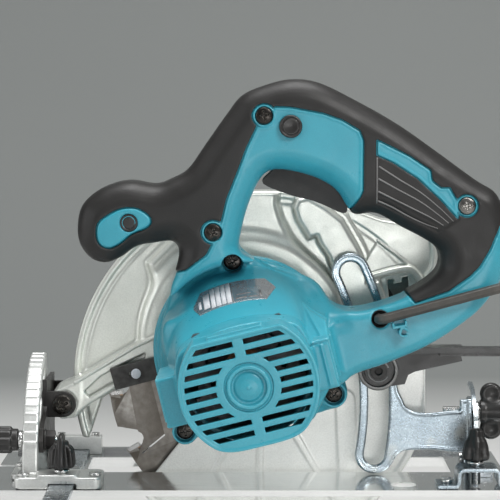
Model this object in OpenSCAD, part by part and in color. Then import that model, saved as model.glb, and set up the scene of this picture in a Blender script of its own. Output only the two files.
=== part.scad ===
// Hand-held circular saw with front depth hinge, bevel brackets and retractable lower guard.
// Frame: X to the rear, Y away from the motor, Z up. Origin on the underside of the sole,
// in the blade plane, straight below the arbor with the depth of cut at its rest setting.

/* [Blade] */
// Radius of the saw blade over its teeth
blade_r = 95; // [90:1:96]
// Radius of the hole in the blade
blade_bore_r = 15; // [12:0.5:15]
// Number of teeth on the blade
teeth = 16; // [12:1:40]

/* [Sole] */
// Front end of the sole along X
sole_x0 = -162; // [-170:1:-158]
// Rear end of the sole along X
sole_x1 = 146; // [144:1:160]
// Motor-side edge of the sole along Y
sole_y0 = -80; // [-90:1:-80]
// Blade-side edge of the sole along Y
sole_y1 = 51; // [48:1:60]
// Thickness of the sole plate
sole_t = 3.5; // [3:0.1:3.6]

/* [Motor] */
// Radius of the motor end cap
cap_r = 37.6; // [36:0.1:39]
// Number of slot rows on each side of the cap
slot_rows = 9; // [5:2:9]

/* [Hidden] */
$fn = 64;

// axes along Y, as (X, Z)
arbor = [0, 58.3];
motor = [-10.2, 82.2];
barrel = motor + [1.2, -2.2];
cap_axis = barrel + [0.34, -1.36];
pivot = [-119.7, 47];               // depth hinge
tilt = 14;                          // turn of the motor barrel
lock_r = 189;                       // lock bolt from the pivot
lock = polar(lock_r, 6.5, pivot);   // lock bolt
case_screw_spots = [for (a=[65,150]) polar(44, a, motor)];
housing_spots = [[-46,34.9],[41.1,56.8],[-18.2,135]];
handle_spots = [[0,220],[-29,154],[115,169]];
button_spot = [15, 214];
key_spot = [65.4, 104.6];
latch_spot = [-76, 65.6];           // shaft lock screw

// axes along X, as (Y, Z)
bevel = [0, 8];
front_bolt = bevel + [-55, 20.9];
rear_bolt = bevel + [-25, 33.4];

// screw places on the sole, as (X, Y)
quadrant_high = [[-139.5,-74],[-98,-72]];
quadrant_low = [[-145.8,-22],[-145.8,18]];
bracket_spots = [[107,-68],[107,-60]];
rear_spots = [[132.6,-30],[132.6,20]];
holder_spots = [[-127.7,43.5],[-106,43.5]];

foot_z = 3.7;        // underside of the parts that stand on the sole
hole_r = 2.1;        // clearance hole for a screw
pivot_hole_r = 3.05; // hole for a bevel rivet or bolt
opening_x = [-107, 113.5];
opening_y = [-21.8, 16.5];

// Y of the handle: motor-side face, joint of the halves, blade-side face
handle_y0 = -92;
handle_joint = -72;
handle_y1 = -52;

teal = [0.16,0.62,0.71];
rubber = [0.22,0.22,0.23];
magnesium = [0.76,0.78,0.74];
black = [0.13,0.12,0.11];
zinc = [0.66,0.70,0.74];
alloy = [0.82,0.83,0.82];
steel = [0.6,0.6,0.6];

// ---------- helpers ----------
// cylinder and ring along Y at (X, Z), cylinder along X at (Y, Z), cylinder along Z
module cyl_y(r, y0, y1, p=[0,0]) translate([p.x, y1, p.y]) rotate([90,0,0]) cylinder(r=r, h=y1-y0);
module ring_y(ro, ri, y0, y1, p) difference() {
  cyl_y(ro, y0, y1, p);
  cyl_y(ri, y0-1, y1+1, p);
}
module cyl_x(r, x0, x1, q) translate([x0, q.x, q.y]) rotate([0,90,0]) cylinder(r=r, h=x1-x0);
module cyl_z(r, z0, z1, x, y) translate([x, y, z0]) cylinder(r=r, h=z1-z0);
module cyls_y(r, y0, y1, spots) for (p=spots) cyl_y(r, y0, y1, p);
module cyls_z(r, z0, z1, spots) for (p=spots) cyl_z(r, z0, z1, p.x, p.y);
// slab across Y from an outline in (X, Z), and across X from an outline in (Y, Z)
module slab_y(y0, y1) translate([0,y1,0]) rotate([90,0,0]) linear_extrude(y1-y0) children();
module slab_x(x0, x1) translate([x0,0,0]) rotate([90,0,90]) linear_extrude(x1-x0) children();
module box(x0, x1, y0, y1, z0, z1) translate([x0,y0,z0]) cube([x1-x0,y1-y0,z1-z0]);
// move to an axis along Y and turn about it
module about(p, a=tilt) translate([p.x,0,p.y]) rotate([0,-a,0]) children();

function polar(r, a, c=[0,0]) = [c.x + r*cos(a), c.y + r*sin(a)];
// points from a table of [radius, angle]
function polar_path(q, turn=0, c=[0,0]) = [for (p=q) polar(p[0], p[1]+turn, c)];
function arc(r, a0, a1, c=[0,0], n=32) = [for (i=[0:n]) polar(r, a0+(a1-a0)*i/n, c)];
// closed Catmull-Rom curve through the points q, n steps between neighbours
function blend(a, b, c, d, t) =
  0.5*((2*b)+(c-a)*t+(2*a-5*b+4*c-d)*t*t+(3*b-a-3*c+d)*t*t*t);
function smooth(q, n=4) = let(m=len(q))
  [for (i=[0:m-1], k=[0:n-1]) blend(q[(i+m-1)%m], q[i], q[(i+1)%m], q[(i+2)%m], k/n)];
// slot of width w along an arc
module arc_slot(r, w, a0, a1, c) polygon(concat(
  arc(r-w/2, a0, a1, c),
  arc(w/2, a1+160, a1+20, polar(r,a1,c), 7),
  arc(r+w/2, a1, a0, c),
  arc(w/2, a0-20, a0-160, polar(r,a0,c), 7)));

// eight flutes around a knob
module flutes(path_r, z0, h, r, first=0)
  for (i=[0:7]) rotate([0,0,i*45+first]) translate([path_r,0,z0]) cylinder(r=r, h=h, $fn=20);

// screws from above, heads standing on z
module screws_z(spots, z, length, head_r) {
  cyls_z(head_r, z, z+1.8, spots);
  cyls_z(2, z-length, z+0.1, spots);
}
// cross-head screws from the motor side, heads under y
module screws_y(spots, y, length, head_r, r) for (p=spots) {
  difference() {
    cyl_y(head_r, y-3, y, p);
    for (a=[0,90]) about(p, -a-20) box(-head_r*0.6, head_r*0.6, y-3.1, y-1.8, -0.5, 0.5);
  }
  cyl_y(r, y-0.1, y+length, p);
}
// outer race, inner race and the fill between them
module bearing(ro, ri, y0, y1, p) {
  w = ro-ri;
  ring_y(ro, ri+w*0.66, y0, y1, p);
  ring_y(ri+w*0.34, ri, y0, y1, p);
  ring_y(ri+w*0.64, ri+w*0.36, y0+0.6, y1-0.6, p);
}

// ---------- sole group ----------
module sole_plate() color(alloy) difference() {
  union() {
    box(sole_x0, sole_x1, sole_y0, sole_y1, 0, sole_t);
    // ribs along the blade-side edge and beside the blade opening
    box(sole_x0+6, sole_x1-6, sole_y1-3, sole_y1, sole_t-0.2, sole_t+3);
    box(opening_x[0], opening_x[1], opening_y[1], 19, sole_t-0.2, sole_t+2.2);
  }
  box(opening_x[0], opening_x[1], opening_y[0], opening_y[1], -1, sole_t+3);
  cyl_z(7.7, -1, sole_t+1, 82, -62);
  cyls_z(hole_r, -1, sole_t+1,
    concat(quadrant_high, quadrant_low, bracket_spots, rear_spots, holder_spots));
  // sight notch at the front edge
  box(sole_x0-1, sole_x0+12, -3, 3, -1, sole_t+1);
}

// cast quadrant with the bevel arc, its foot and the clamp block for the fence rule
module front_quadrant() color(alloy) difference() {
  union() {
    slab_x(-141.4, -132) polygon(concat(arc(66.6, 94, 165, bevel, 36),
      [[-66.4,foot_z],[14,foot_z],[14,12],[11,19],[3,24]]));
    box(-145, -94, -80, -50, foot_z, 10.8);
    box(-132.1, -108, -79.6, -58, 10.7, 12.2);
    box(-150, -132, -50.1, 26, foot_z, 7.5);
  }
  // window, then arc slot for the bevel bolt
  slab_x(-143, -131) polygon(concat(arc(50, 100, 150, bevel, 20), arc(26, 144, 104, bevel, 12)));
  slab_x(-143, -131) arc_slot(59, 7.4, 112, 159.5, bevel);
  cyl_x(pivot_hole_r, -143, -130, bevel);
  box(-151, -141.4, -5, 5, 2, 14);
  // rule channel and the hole above it
  box(-125, -108.6, -81, -49, 0, 7.1);
  cyl_z(3.05, 0, 14, -117.7, -70.7);
  cyls_z(hole_r, 0, 14, concat(quadrant_high, quadrant_low));
  // degree marks on the rim
  for (a=[95:5:160]) slab_x(-141.9, -140.8)
    polygon(polar_path([[63.3,-0.3],[66,-0.3],[66,0.3],[63.3,0.3]], a, bevel));
}

module rear_quadrant() color(zinc) difference() {
  union() {
    slab_x(125.7, 128.2) polygon(concat(arc(47.6, 88, 142, bevel, 24),
      [[-39.4,foot_z],[30,foot_z],[30,14],[8,20]]));
    box(125.7, 137, -39.4, 30, foot_z, 6.2);
  }
  box(128.2, 140, -5, 5, 2, 14);
  slab_x(124, 130) arc_slot(41.7, 6.6, 80.5, 128.5, bevel);
  cyl_x(pivot_hole_r, 120, 130, bevel);
  cyls_z(hole_r, 0, 14, rear_spots);
}

// rivets on the bevel axis: [radius, x0, x1] of shanks and heads, front then rear
module bevel_pivots() color(steel)
  for (c=[[3,-143.6,-129.2],[4.2,-144.4,-141.6],[4.2,-129.1,-127.6],
          [3,121.2,130.4],[4.2,128.4,131.2],[4.2,120.4,122.6]])
    cyl_x(c[0], c[1], c[2], bevel);

// winged clamp screw that holds the fence rule
module front_rule_knob() translate([-117.7,-70.7,0]) {
  color(black) difference() {
    union() {
      translate([0,0,15]) cylinder(r=8, h=14);
      translate([0,0,29]) cylinder(r1=8, r2=5.5, h=3);
      translate([-3,0,15.5]) rotate([90,0,90]) linear_extrude(6) polygon(smooth(
        [[-8,2],[-8.8,8],[-8.4,15],[-5,19.8],[0,20.8],[5,19.8],[8.4,15],[8.8,8],[8,2],[0,0]]));
    }
    translate([0,0,14]) cylinder(r=2.95, h=12);
    for (side=[0,180], a=[-50,-25,25,50])
      rotate([0,0,side+a]) translate([9,0,14]) cylinder(r=1.3, h=18, $fn=16);
  }
  color(steel) translate([0,0,6.9]) cylinder(r=2.94, h=19);
}

// fence: flat rule with a downturned guide at its motor-side end
module rip_fence() color(zinc) {
  difference() {
    box(-124, -110, -136, 47, 3.75, 6.75);
    for (i=[0:11]) box(-124.5, i%2==0 ? -120 : -122, -118+i*10, -117.6+i*10, 6.5, 7);
  }
  box(-124, -70, -139, -135.9, -6, 6.75);
  box(-160, -123.9, -139, -135.9, -6, 6.75);
}

// pressed hat bracket for a second rule position at the rear
module rear_rule_bracket() color(zinc) difference() {
  // [x0, x1, z0, z1] of each strip
  for (s=[[101,114.5,foot_z,5.9],[112.3,114.5,foot_z,15.7],[112.3,138,13.5,15.7],
          [135.8,138,foot_z,15.7],[135.8,144,foot_z,5.9]])
    box(s[0], s[1], -78, -56, s[2], s[3]);
  cyls_z(hole_r, 0, 14, bracket_spots);
  cyl_z(3.05, 10, 20, 124, -66);
}

module rear_rule_knob() translate([124,-66,0]) {
  color(black) difference() {
    union() {
      translate([0,0,19]) cylinder(r1=6.2, r2=8.6, h=9);
      translate([0,0,28]) cylinder(r1=8.6, r2=7.2, h=7);
      translate([0,0,35]) cylinder(r1=7.2, r2=4.6, h=2.4);
    }
    flutes(9.4, 18, 21, 1.9, 22);
    translate([0,0,18]) cylinder(r=2.95, h=12);
  }
  color(steel) {
    translate([0,0,4.5]) cylinder(r=2.94, h=25.4);
    translate([0,0,16.2]) cylinder(r=4.6, h=2.6);
  }
}

module far_rule_holder() color(alloy) difference() {
  box(-131, -102, 38.5, 47.9, foot_z, 15);
  box(-124.3, -109.7, 30, 60, 3, 7.1);
  cyls_z(hole_r, 0, 20, holder_spots);
}

module sole_screws() color(steel) {
  screws_z(quadrant_high, 10.9, 10, 3.6);
  screws_z(quadrant_low, 7.6, 6.5, 3.6);
  screws_z(bracket_spots, 6, 5, 3.2);
  screws_z(rear_spots, 6.3, 5, 3.4);
  screws_z(holder_spots, 15.1, 14, 2.6);
}

// ---------- bevel frame ----------
module front_angle_plate() color(black) difference() {
  union() {
    slab_x(-131.8, -129.2) polygon([[-36,62],[-20,60],[13.8,60],[13.8,17.5],[9,12.2],[6,8.6],
      [4,6.4],[1.4,3.9],[-4,3.9],[-6,4.6],[-9,14],[-36,20],[-50,21],[-60,22],[-63,29],[-59,36],
      [-50,39],[-40,42],[-36,46]]);
    // lugs for the hinge pin
    for (y=[-36,10.4]) slab_y(y, y+3.4) union() {
      translate([-131.8,pivot.y-7.7]) square([pivot.x+131.8,15.4]);
      translate(pivot) circle(r=7.7);
    }
  }
  for (q=[bevel,front_bolt]) cyl_x(pivot_hole_r, -133, -128, q);
  cyl_y(4.05, -40, 20, pivot);
}
module hinge_pin() color(steel) {
  cyl_y(4, -38.2, 15.4, pivot);
  cyl_y(6, -38.4, -36.1, pivot);
  cyl_y(5.4, 14, 15.8, pivot);
}

// slotted guide for the depth lock, with the arm that runs back to the rear bevel bolt
module depth_guide() color(zinc) difference() {
  union() {
    slab_y(-30, -27) union() {
      arc_slot(lock_r, 23, -9.6, 24.6, pivot);
      polygon([[73,10.5],[79,15.5],[86,18.7],[127.9,18.5],[122,41],[93,41],[86,44],[80,51],
        [70,51]]);
      translate([118,18.6]) square([7.6,30.4]);
    }
    slab_x(122.8, 125.4) polygon([[-30,18.6],[-30,49],[-18,49],[-14,41],[6,18],[6,8.6],
      [4,6.4],[1.4,3.9],[-4,3.9],[-12,14]]);
  }
  slab_y(-31, -26) arc_slot(lock_r, 12.3, -9.6, 24.6, pivot);
  box(125.41, 140, -31, -26, 0, 60);
  for (q=[bevel,rear_bolt]) cyl_x(pivot_hole_r, 120, 128, q);
  cyl_x(3.4, 100, 122.79, rear_bolt);
}

// bevel clamps along X: screw, collar and knob
module front_bevel_knob() translate([0,front_bolt.x,front_bolt.y]) rotate([0,-90,0]) {
  color(steel) translate([0,0,121]) cylinder(r=3, h=25);
  color(steel) translate([0,0,141.7]) cylinder(r=5.6, h=2.6);
  color(black) difference() {
    union() {
      translate([0,0,144.4]) cylinder(r=6.8, h=4);
      translate([0,0,148]) cylinder(r=8, h=22);
      translate([0,0,170]) cylinder(r1=8, r2=5.5, h=3);
    }
    translate([0,0,143]) cylinder(r=2.99, h=10);
    flutes(8.9, 150, 30, 1.6);
  }
}
module front_bevel_nut() color(black)
  translate([-129,front_bolt.x,front_bolt.y]) rotate([0,90,0]) difference() {
    union() {
      cylinder(r=5.8, h=6.4, $fn=6);
      cylinder(r=6.2, h=1.2);
    }
    translate([0,0,-1]) cylinder(r=pivot_hole_r, h=10);
  }
module rear_bevel_knob() translate([0,rear_bolt.x,rear_bolt.y]) rotate([0,90,0]) {
  color(steel) translate([0,0,108]) cylinder(r=2.95, h=32);
  color(steel) translate([0,0,128.4]) cylinder(r=6, h=1.8);
  color(black) difference() {
    union() {
      translate([0,0,130.4]) cylinder(r=6.5, h=3);
      translate([0,0,133]) cylinder(r1=8, r2=9.5, h=10);
      // wings
      translate([-2.5,0,132]) rotate([90,0,90]) linear_extrude(5) polygon(smooth(
        [[-15.6,4],[-17,10],[-14,17],[-8,19],[0,15],[8,19],[14,17],[17,10],[15.6,4],[8,1],
         [0,0],[-8,1]]));
    }
    translate([0,0,130]) cylinder(r=2.96, h=10.01);
  }
}

// ---------- saw body ----------
// upper part of a disc about the arbor
module case_disc(r) intersection() {
  translate(arbor) circle(r=r, $fn=120);
  polygon([[-125,26],[-106,23],[-98,47],[-78,60],[-50,68],[-30,48],[0,arbor.y-1],
    [128,arbor.y+31],[128,190],[-125,190]]);
}
// rear extension of the case, drawn in by t
module case_rear(t) polygon([[40,160-t],[105-t,150-t],[106-t,124+t/2],[99-t,118+t/2],
  [60,100],[20,100]]);

module blade_case() color(magnesium) difference() {
  union() {
    slab_y(-13, 13) union() {
      case_disc(115);
      case_rear(0);
    }
    // hinge arm and its barrel
    slab_y(-32.4, -12.5) polygon([[-119.7,56],[-112,61],[-86,77],[-67,86],[-60,86],[-58.4,72],
      [-66,64],[-88,56.5],[-94,52.5],[-104,46.5],[-112,40],[-119.7,38]]);
    cyl_y(9, -32.4, 10.2, pivot);
    slab_y(-32.4, 10.2) polygon([[-121,38],[-112,38.6],[-109,50],[-109,60],[-112,60],
      [-121,56]]);
    // boss for the depth-lock bolt
    cyl_y(11, -26.9, -10, lock);
    // bead ribs on the motor-side wall
    for (r=[104,92]) slab_y(-14.2, -12.9) intersection() {
      difference() {
        case_disc(r);
        translate(arbor) circle(r=r-2.2, $fn=120);
      }
      polygon([arbor,[-150,75],[-150,200],[20,200]]);
    }
    // chip chute on the motor-side wall
    slab_y(-21, -12.9) polygon([[14,172],[33,122],[50,97],[76,95],[70,109],[57,136],[46,156],
      [34,168],[24,173]]);
    slab_y(-16, -12.9) polygon([[66,121],[85,125],[93,117],[95,121],[86,129],[66,124.5]]);
  }
  // blade chamber, open below
  slab_y(-10, 10) union() {
    case_disc(111.8);
    case_rear(3);
    polygon([[-104,24],[-96,47],[-78,60],[-50,68],[-30,48],[0,50],[126,81],[126,60],[0,20],
      [-100,5]]);
  }
  // hole for the bearing retainer, blade-side access around the flange
  cyl_y(29.5, -14, -9, arbor);
  cyl_y(34, 9, 14, arbor);
  cyl_y(4.05, -40, 20, pivot);
  cyl_y(8.2, 10.2, 14, pivot);
  // holes for the lock bolt, the case screws and the shaft lock screw
  cyl_y(4, -27, -12, lock);
  cyls_y(2, -14, -9.9, case_screw_spots);
  cyl_y(1.6, -33, -26, latch_spot);
  // hollow of the chute
  slab_y(-18.5, -9) polygon([[20,166],[38,122],[52,100],[70,99],[66,109],[53,135],[43,153],
    [32,164]]);
  // recess along the arm
  slab_y(-33, -29) polygon([[-107,49.5],[-103,46.5],[-94,52.5],[-91,61],[-98,60]]);
}

// lugs around the housing screws
module lugs(y0, y1, r) for (p=housing_spots) hull() {
  cyl_y(r, y0, y1, p);
  cyl_y(12, y0, y1, motor + (p-motor)*0.72);
}

// casting that carries the gear train, open towards the case wall
module gear_housing() color(magnesium) difference() {
  union() {
    slab_y(-44.8, -13.1) union() {
      translate(motor) circle(r=47);
      translate(arbor) circle(r=24.7);
    }
    lugs(-44.8, -38, 6.2);
  }
  // gear chambers
  slab_y(-35, -12) union() {
    translate(motor) circle(r=20);
    translate(arbor) circle(r=23.1);
  }
  // hollows around the chamber
  for (a=[20:40:180]) cyl_y(8.5, -40, -12, polar(34, a, motor));
  // bearing seats and shaft clearance
  cyl_y(16.02, -46, -38, motor);
  cyl_y(7, -41, -33, motor);
  cyl_y(11.02, -38, -34, arbor);
  cyls_y(hole_r, -46, -37, housing_spots);
  cyls_y(hole_r, -46, -12, case_screw_spots);
}

module bearing_retainer() color(alloy) difference() {
  union() {
    cyl_y(29.3, -13, -10.2, arbor);
    cyl_y(24, -12.9, -5, arbor);
    cyl_y(22.9, -16.5, -12.8, arbor);
  }
  cyl_y(17.52, -16.6, -6, arbor);
  cyl_y(9, -7, -4, arbor);
}
module spindle_bearings() color(steel) {
  bearing(17.5, 7.51, -16.5, -6.1, arbor);
  bearing(11, 4.01, -37.9, -31, arbor);
}
module guard_stop() color(rubber) cyl_y(3.2, -9.8, -7, polar(106.8, 23.5, arbor));
module case_screws() color(black) cyls_y(1.95, -44.8, -10.6, case_screw_spots);

// ---------- motor housing and handle ----------
// outlines in (X, Z); the upper run is shared by the handle and its rubber
grip_run = [[-49,146],[-53,149],[-63,148],[-73,146],[-82,140],[-90,137],[-98,139],[-104,146],
  [-106,155],[-104,167],[-97,175],[-87,180],[-76,182],[-62,180],[-53,183],[-43,189],[-33,203],
  [-21,220],[-12,231],[2,237],[16,240],[31,238],[50,229],[75,215],[98,199],[120,183],
  [131,176],[136,166]];
handle_outer = concat([[-50,132],[-48,141]], grip_run, [[141,150],[139,132],[127,113],
  [112,100],[93,88],[70,78],[50,70],[46,55],[30,44],[-10,46],[-40,60],[-58,90],[-54,120]]);
handle_inner = [[3,188],[-7,173],[-13,152],[-13,143],[-6,139],[10,134],[30,124],[40,112],
  [52,109],[70,113],[88,121],[100,131],[101,142],[94,149],[79,157],[64,165],[50,165],[40,178],
  [24,186]];
rubber_outline = concat([[-50,133],[-47,141]], grip_run, [[128,143],[117,129],[105,120],
  [86,114],[83,120],[100,131],[101,142],[94,149],[79,157],[64,165],[51,166],[55,176],[56,190],
  [55,210],[40,219],[20,224],[4,222],[-5,214],[-12,198],[-18,180],[-26,158],[-30,144],
  [-38,137]]);

module handle_shape() difference() {
  polygon(smooth(handle_outer));
  polygon(smooth(handle_inner));
}
// the cover stops at the motor barrel
module cover_shape() difference() {
  handle_shape();
  translate(motor) circle(r=57.2);
  for (p=housing_spots) translate(p) circle(r=10);
}
module trigger_opening() polygon([[-2,181],[3,189],[10,199],[36,196],[50,184],[51,166],
  [46,160],[30,168],[15,173]]);
module inset_shape(d) offset(delta=d) polygon(smooth([[-95,152],[-94,159],[-88,164],
  [-80,167.5],[-71,167],[-64.5,162],[-66,157],[-75,153],[-82,147.5],[-88,145],[-93,147]]));

// frame with Z along the cord, and the hole for the cord guard
module cord_frame() translate([141,-72,158]) rotate([0,82,0]) children();
module cord_hole() cord_frame() translate([0,0,-9.6]) cylinder(r=4.6, h=30);

// everything below the sloping crown of the motor cone, raised by k
module crown(k=0) about(barrel) translate([0,-118,28.8+k]) rotate([23.3,0,0])
  translate([0,0,-80]) rotate([90,0,0]) translate([0,0,-90]) cylinder(r=80, h=180, $fn=180);
module under_crown(k=0) union() {
  crown(k);
  about(barrel) box(-60, 60, -160, -117.5, -60, 28.8+k);
}
// flange outline, cut flat below parallel to the sole at full depth
module flange_shape() intersection() {
  translate(motor+[-1.1,1.6]) circle(r=54.7, $fn=96);
  translate(pivot) rotate(tilt) translate(-pivot) translate([-200,8.6]) square([400,200]);
}

// brush windows: x0, x1 in the barrel frame
brush_windows = [[38,47.6],[-50.3,-38]];
module brush_boxes(gap, y0, y1, z0, z1) about(barrel)
  for (w=brush_windows) box(w[0]-gap, w[1]+gap, y0, y1, z0, z1);
module brush_channels() about(motor) for (x=[-42,33]) box(x, x+9, -139.2, -132.8, -2.2, 4.2);

// motor barrel in one moulding with the motor-side half of the handle
module motor_housing() color(teal) difference() {
  union() {
    slab_y(-56, -45) flange_shape();
    intersection() {
      translate([motor.x,-51.9,motor.y+0.6]) rotate([90,0,0])
        cylinder(r1=51.5, r2=37.9, h=72.1);
      under_crown();
    }
    intersection() {
      cyl_y(38.2, -152, -114, barrel);
      about(barrel) box(-60, 60, -160, -110, -34.6, 60);
      under_crown();
    }
    // brush housings on both sides
    about(barrel) translate([33,-146,-19]) cube([14.5,50,32]);
    about(barrel) translate([-50.2,-146,-19]) cube([17,50,32]);
    lugs(-64, -45, 8);
    difference() {
      slab_y(handle_y0, handle_joint-0.1) handle_shape();
      difference() {
        cyl_y(48.9, -93, -71, motor);
        under_crown();
      }
    }
  }
  // motor bore and fan chamber
  intersection() {
    cyl_y(34.2, -153, -72, motor);
    under_crown(-2.6);
  }
  cyl_y(38.5, -72.1, -52, motor);
  cyl_y(30, -53, -44, motor);
  // hollow handle
  difference() {
    slab_y(-89, -71) offset(delta=-3) handle_shape();
    cyl_y(51, -93, -70, motor);
    cyls_y(4.5, -95, -70, handle_spots);
  }
  cyls_y(1.6, -93, -70, handle_spots);
  cord_hole();
  brush_channels();
  cyls_y(hole_r, -65, -44, housing_spots);
  cyls_y(6.2, -95, -58, housing_spots);
  // trigger opening, lock-off hole, brush windows, key hole, vents
  slab_y(-80, -71) trigger_opening();
  cyl_y(6.75, -93, -70, button_spot);
  brush_boxes(0.1, -144.1, -123.9, -15.1, 9.1);
  cyl_y(2.6, -93, -85, key_spot);
  for (i=[0:6]) translate([97+i*2.1, -93, 104+i*1.35]) rotate([0,8,0]) cube([0.8,5,5.5-i*0.3]);
  // seat of the knob inset
  slab_y(-93, -91) inset_shape(0.15);
}

// slotted end cap
slot_pitch = 6.05;
module cap_slots() for (i=[0:slot_rows-1]) {
  z = (i-(slot_rows-1)/2)*slot_pitch - 1.45;
  off = abs(z+1.4);
  x0 = off > 17 ? 3.2 : (off > 10 ? 14.5 : 17.5);
  x1 = sqrt(max(1, 33.5*33.5-off*off));
  for (x=[x0,-x1]) translate([x,-188,z-1.5]) cube([x1-x0,8,3]);
}
module motor_cap() color(teal) difference() {
  union() {
    intersection() {
      cyl_y(cap_r, -185, -152.1, cap_axis);
      about(barrel) union() {
        box(-60, 60, -182.7, -150, -33.4, 29.2);
        box(-60, 60, -190, -182.6, -33.4, 27.4);
      }
    }
    cyl_y(11.3, -186, -184, cap_axis);
  }
  // hollow around the bearing seat
  difference() {
    intersection() {
      cyl_y(34.4, -182, -152, cap_axis);
      about(barrel) box(-60, 60, -190, -150, -31.2, 26.4);
    }
    ring_y(14, 11.02, -183, -164, motor);
  }
  cyl_y(9, -187, -184, cap_axis);
  about(barrel) cap_slots();
}
module stator() color([0.35,0.35,0.37]) difference() {
  intersection() {
    cyl_y(34, -122, -78, motor);
    under_crown(-3);
  }
  cyl_y(22.5, -127, -77, motor);
  for (s=[0,180]) about(motor) rotate([0,s,0]) translate([29,-130,-12]) cube([10,60,24]);
}
module motor_bearings() color(steel) {
  bearing(16, 6.01, -44.8, -38.1, motor);
  bearing(11, 4.01, -170, -163, motor);
}
module brush_caps() color(teal) difference() {
  brush_boxes(0, -144, -124, -15, 9);
  brush_channels();
}
module carbon_brushes() color([0.2,0.2,0.2]) about(motor)
  for (x=[-41.7,12.7]) translate([x,-139,-2]) cube([29,6,6]);

module handle_cover() color(teal) difference() {
  slab_y(handle_joint, handle_y1) cover_shape();
  difference() {
    slab_y(-73, -55) offset(delta=-3) cover_shape();
    cyls_y(4.5, -95, -50, handle_spots);
  }
  cyls_y(1.6, -74, -54, handle_spots);
  slab_y(-73, -64) trigger_opening();
  cyl_y(6.75, -74, -50, button_spot);
  cord_hole();
}
module rubber_shape() offset(delta=-0.8) difference() {
  polygon(smooth(rubber_outline, 3));
  inset_shape(0.6);
  for (i=[0,1]) translate(handle_spots[i]) circle(r=6.6);
  translate(handle_spots[2]) circle(r=6.2);
  translate(button_spot) circle(r=7.8);
}
module grip_rubber_near() color(rubber) slab_y(handle_y0-2, handle_y0-0.1) rubber_shape();
module grip_rubber_far() color(rubber) slab_y(handle_y1+0.1, handle_y1+2) rubber_shape();
module knob_inset() color(teal) difference() {
  slab_y(-92.6, -91.1) inset_shape(-0.1);
  cyl_y(4.8, -93, -91.9, [-77,159]);
}
module nameplate() color(zinc) intersection() {
  difference() {
    crown(0.8);
    crown(0.12);
  }
  about(barrel) translate([0,0,10]) linear_extrude(height=50) polygon([[-15.5,-80],[20.9,-80],
    [25.6,-90],[19,-102.5],[-20.1,-102.5],[-23.2,-92.5]]);
}

module housing_screws() color(black) screws_y(housing_spots, -58.1, 19, 5, 2);
module handle_screws() color(black) screws_y(handle_spots, handle_y0-0.05, 36, 4.7, 1.5);
module power_switch() color(black) {
  box(14, 44, -82, -62, 199, 206.6);
  box(20, 38, -80, -64, 195.2, 199.1);
}
module cord_guard() color(rubber) difference() {
  cord_frame() union() {
    translate([0,0,-8]) cylinder(r=4.4, h=11);
    translate([0,0,1.4]) cylinder(r1=6.6, r2=4.9, h=30);
    translate([0,0,-9.4]) cylinder(r=6.4, h=2.8);
  }
  cord_frame() translate([0,0,-12]) cylinder(r=3.6, h=60);
}
module power_cord() color(rubber) cord_frame() translate([0,0,-14]) cylinder(r=3.5, h=58);
module depth_bolt() color(steel) difference() {
  union() {
    cyl_y(3.95, -47.5, -12.5, lock);
    cyl_y(5, -47.6, -46.4, lock);
  }
  cyl_y(2.2, -49, -45.6, lock);
}
module key_clip() color(teal) translate([76,-92,102]) rotate([0,-15,0]) {
  box(-4, -2, -10, -0.05, -3, 1);
  box(3, 5, -10, -0.05, -3, 1);
  box(-4, 5, -11, -9.9, -3, 1.4);
}

// ---------- moving pieces on the saw body ----------
module trigger() color(rubber) slab_y(-79, -65) polygon(smooth([[-0.5,181],[3,187],[10,192],
  [24,191],[38,185],[47.5,176],[48,169],[45.5,164],[30,170.5],[15,174.5]]));
module lock_off_button() color(black) cyl_y(6.6, -95, -50, button_spot);
module depth_lever() color(black) difference() {
  union() {
    cyl_y(12, -41.6, -30.2, lock);
    cyl_y(8, -46.2, -41.5, lock);
    slab_y(-41.6, -35) polygon([[70,81],[92,84],[117,78.5],[118,73.8],[90,67.5],[86,65.5],
      [84,60],[68,57.5]]);
    box(86, 118, -43.6, -35, 78, 83);
    box(86, 150, -51.5, -43.1, 79.5, 83);
    box(104, 150, -50.5, -43.4, 77.8, 79.6);
  }
  cyl_y(4.05, -50, -30, lock);
}
// slider with a round-ended slot
module shaft_lock() color(black) about([-76.5,65.5], 15) difference() {
  box(-14, 14.5, -36.2, -32.6, -6.6, 6.6);
  box(-2.1, 0.6, -37, -32, -1.75, 1.75);
  for (x=[0.6,-2.1]) cyl_y(1.75, -37, -32, [x,0]);
}
module shaft_lock_screw() color(steel) {
  difference() {
    cyl_y(4.1, -38.6, -36.4, latch_spot);
    about(latch_spot, -20) translate([-5,-39,-0.5]) cube([10,1.2,1]);
  }
  cyl_y(1.5, -36.6, -27, latch_spot);
}
module hex_key() color([0.3,0.29,0.28]) translate([key_spot.x,-98,key_spot.y]) {
  rotate([0,75,0]) rotate([0,0,30]) cylinder(r=3.2, h=72, $fn=6);
  rotate([90,0,0]) translate([0,0,-9.5]) cylinder(r=2.5, h=10, $fn=32);
  rotate([90,0,0]) translate([0,0,-1]) cylinder(r=3.15, h=4.1, $fn=32);
}

// ---------- arbor ----------
module spindle() color(steel) difference() {
  union() {
    cyl_y(4, -37.8, -30.9, arbor);
    cyl_y(7.5, -31, -4.1, arbor);
    cyl_y(6, -4.2, 2, arbor);
  }
  cyl_y(3, -20, 3, arbor);
}
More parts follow.
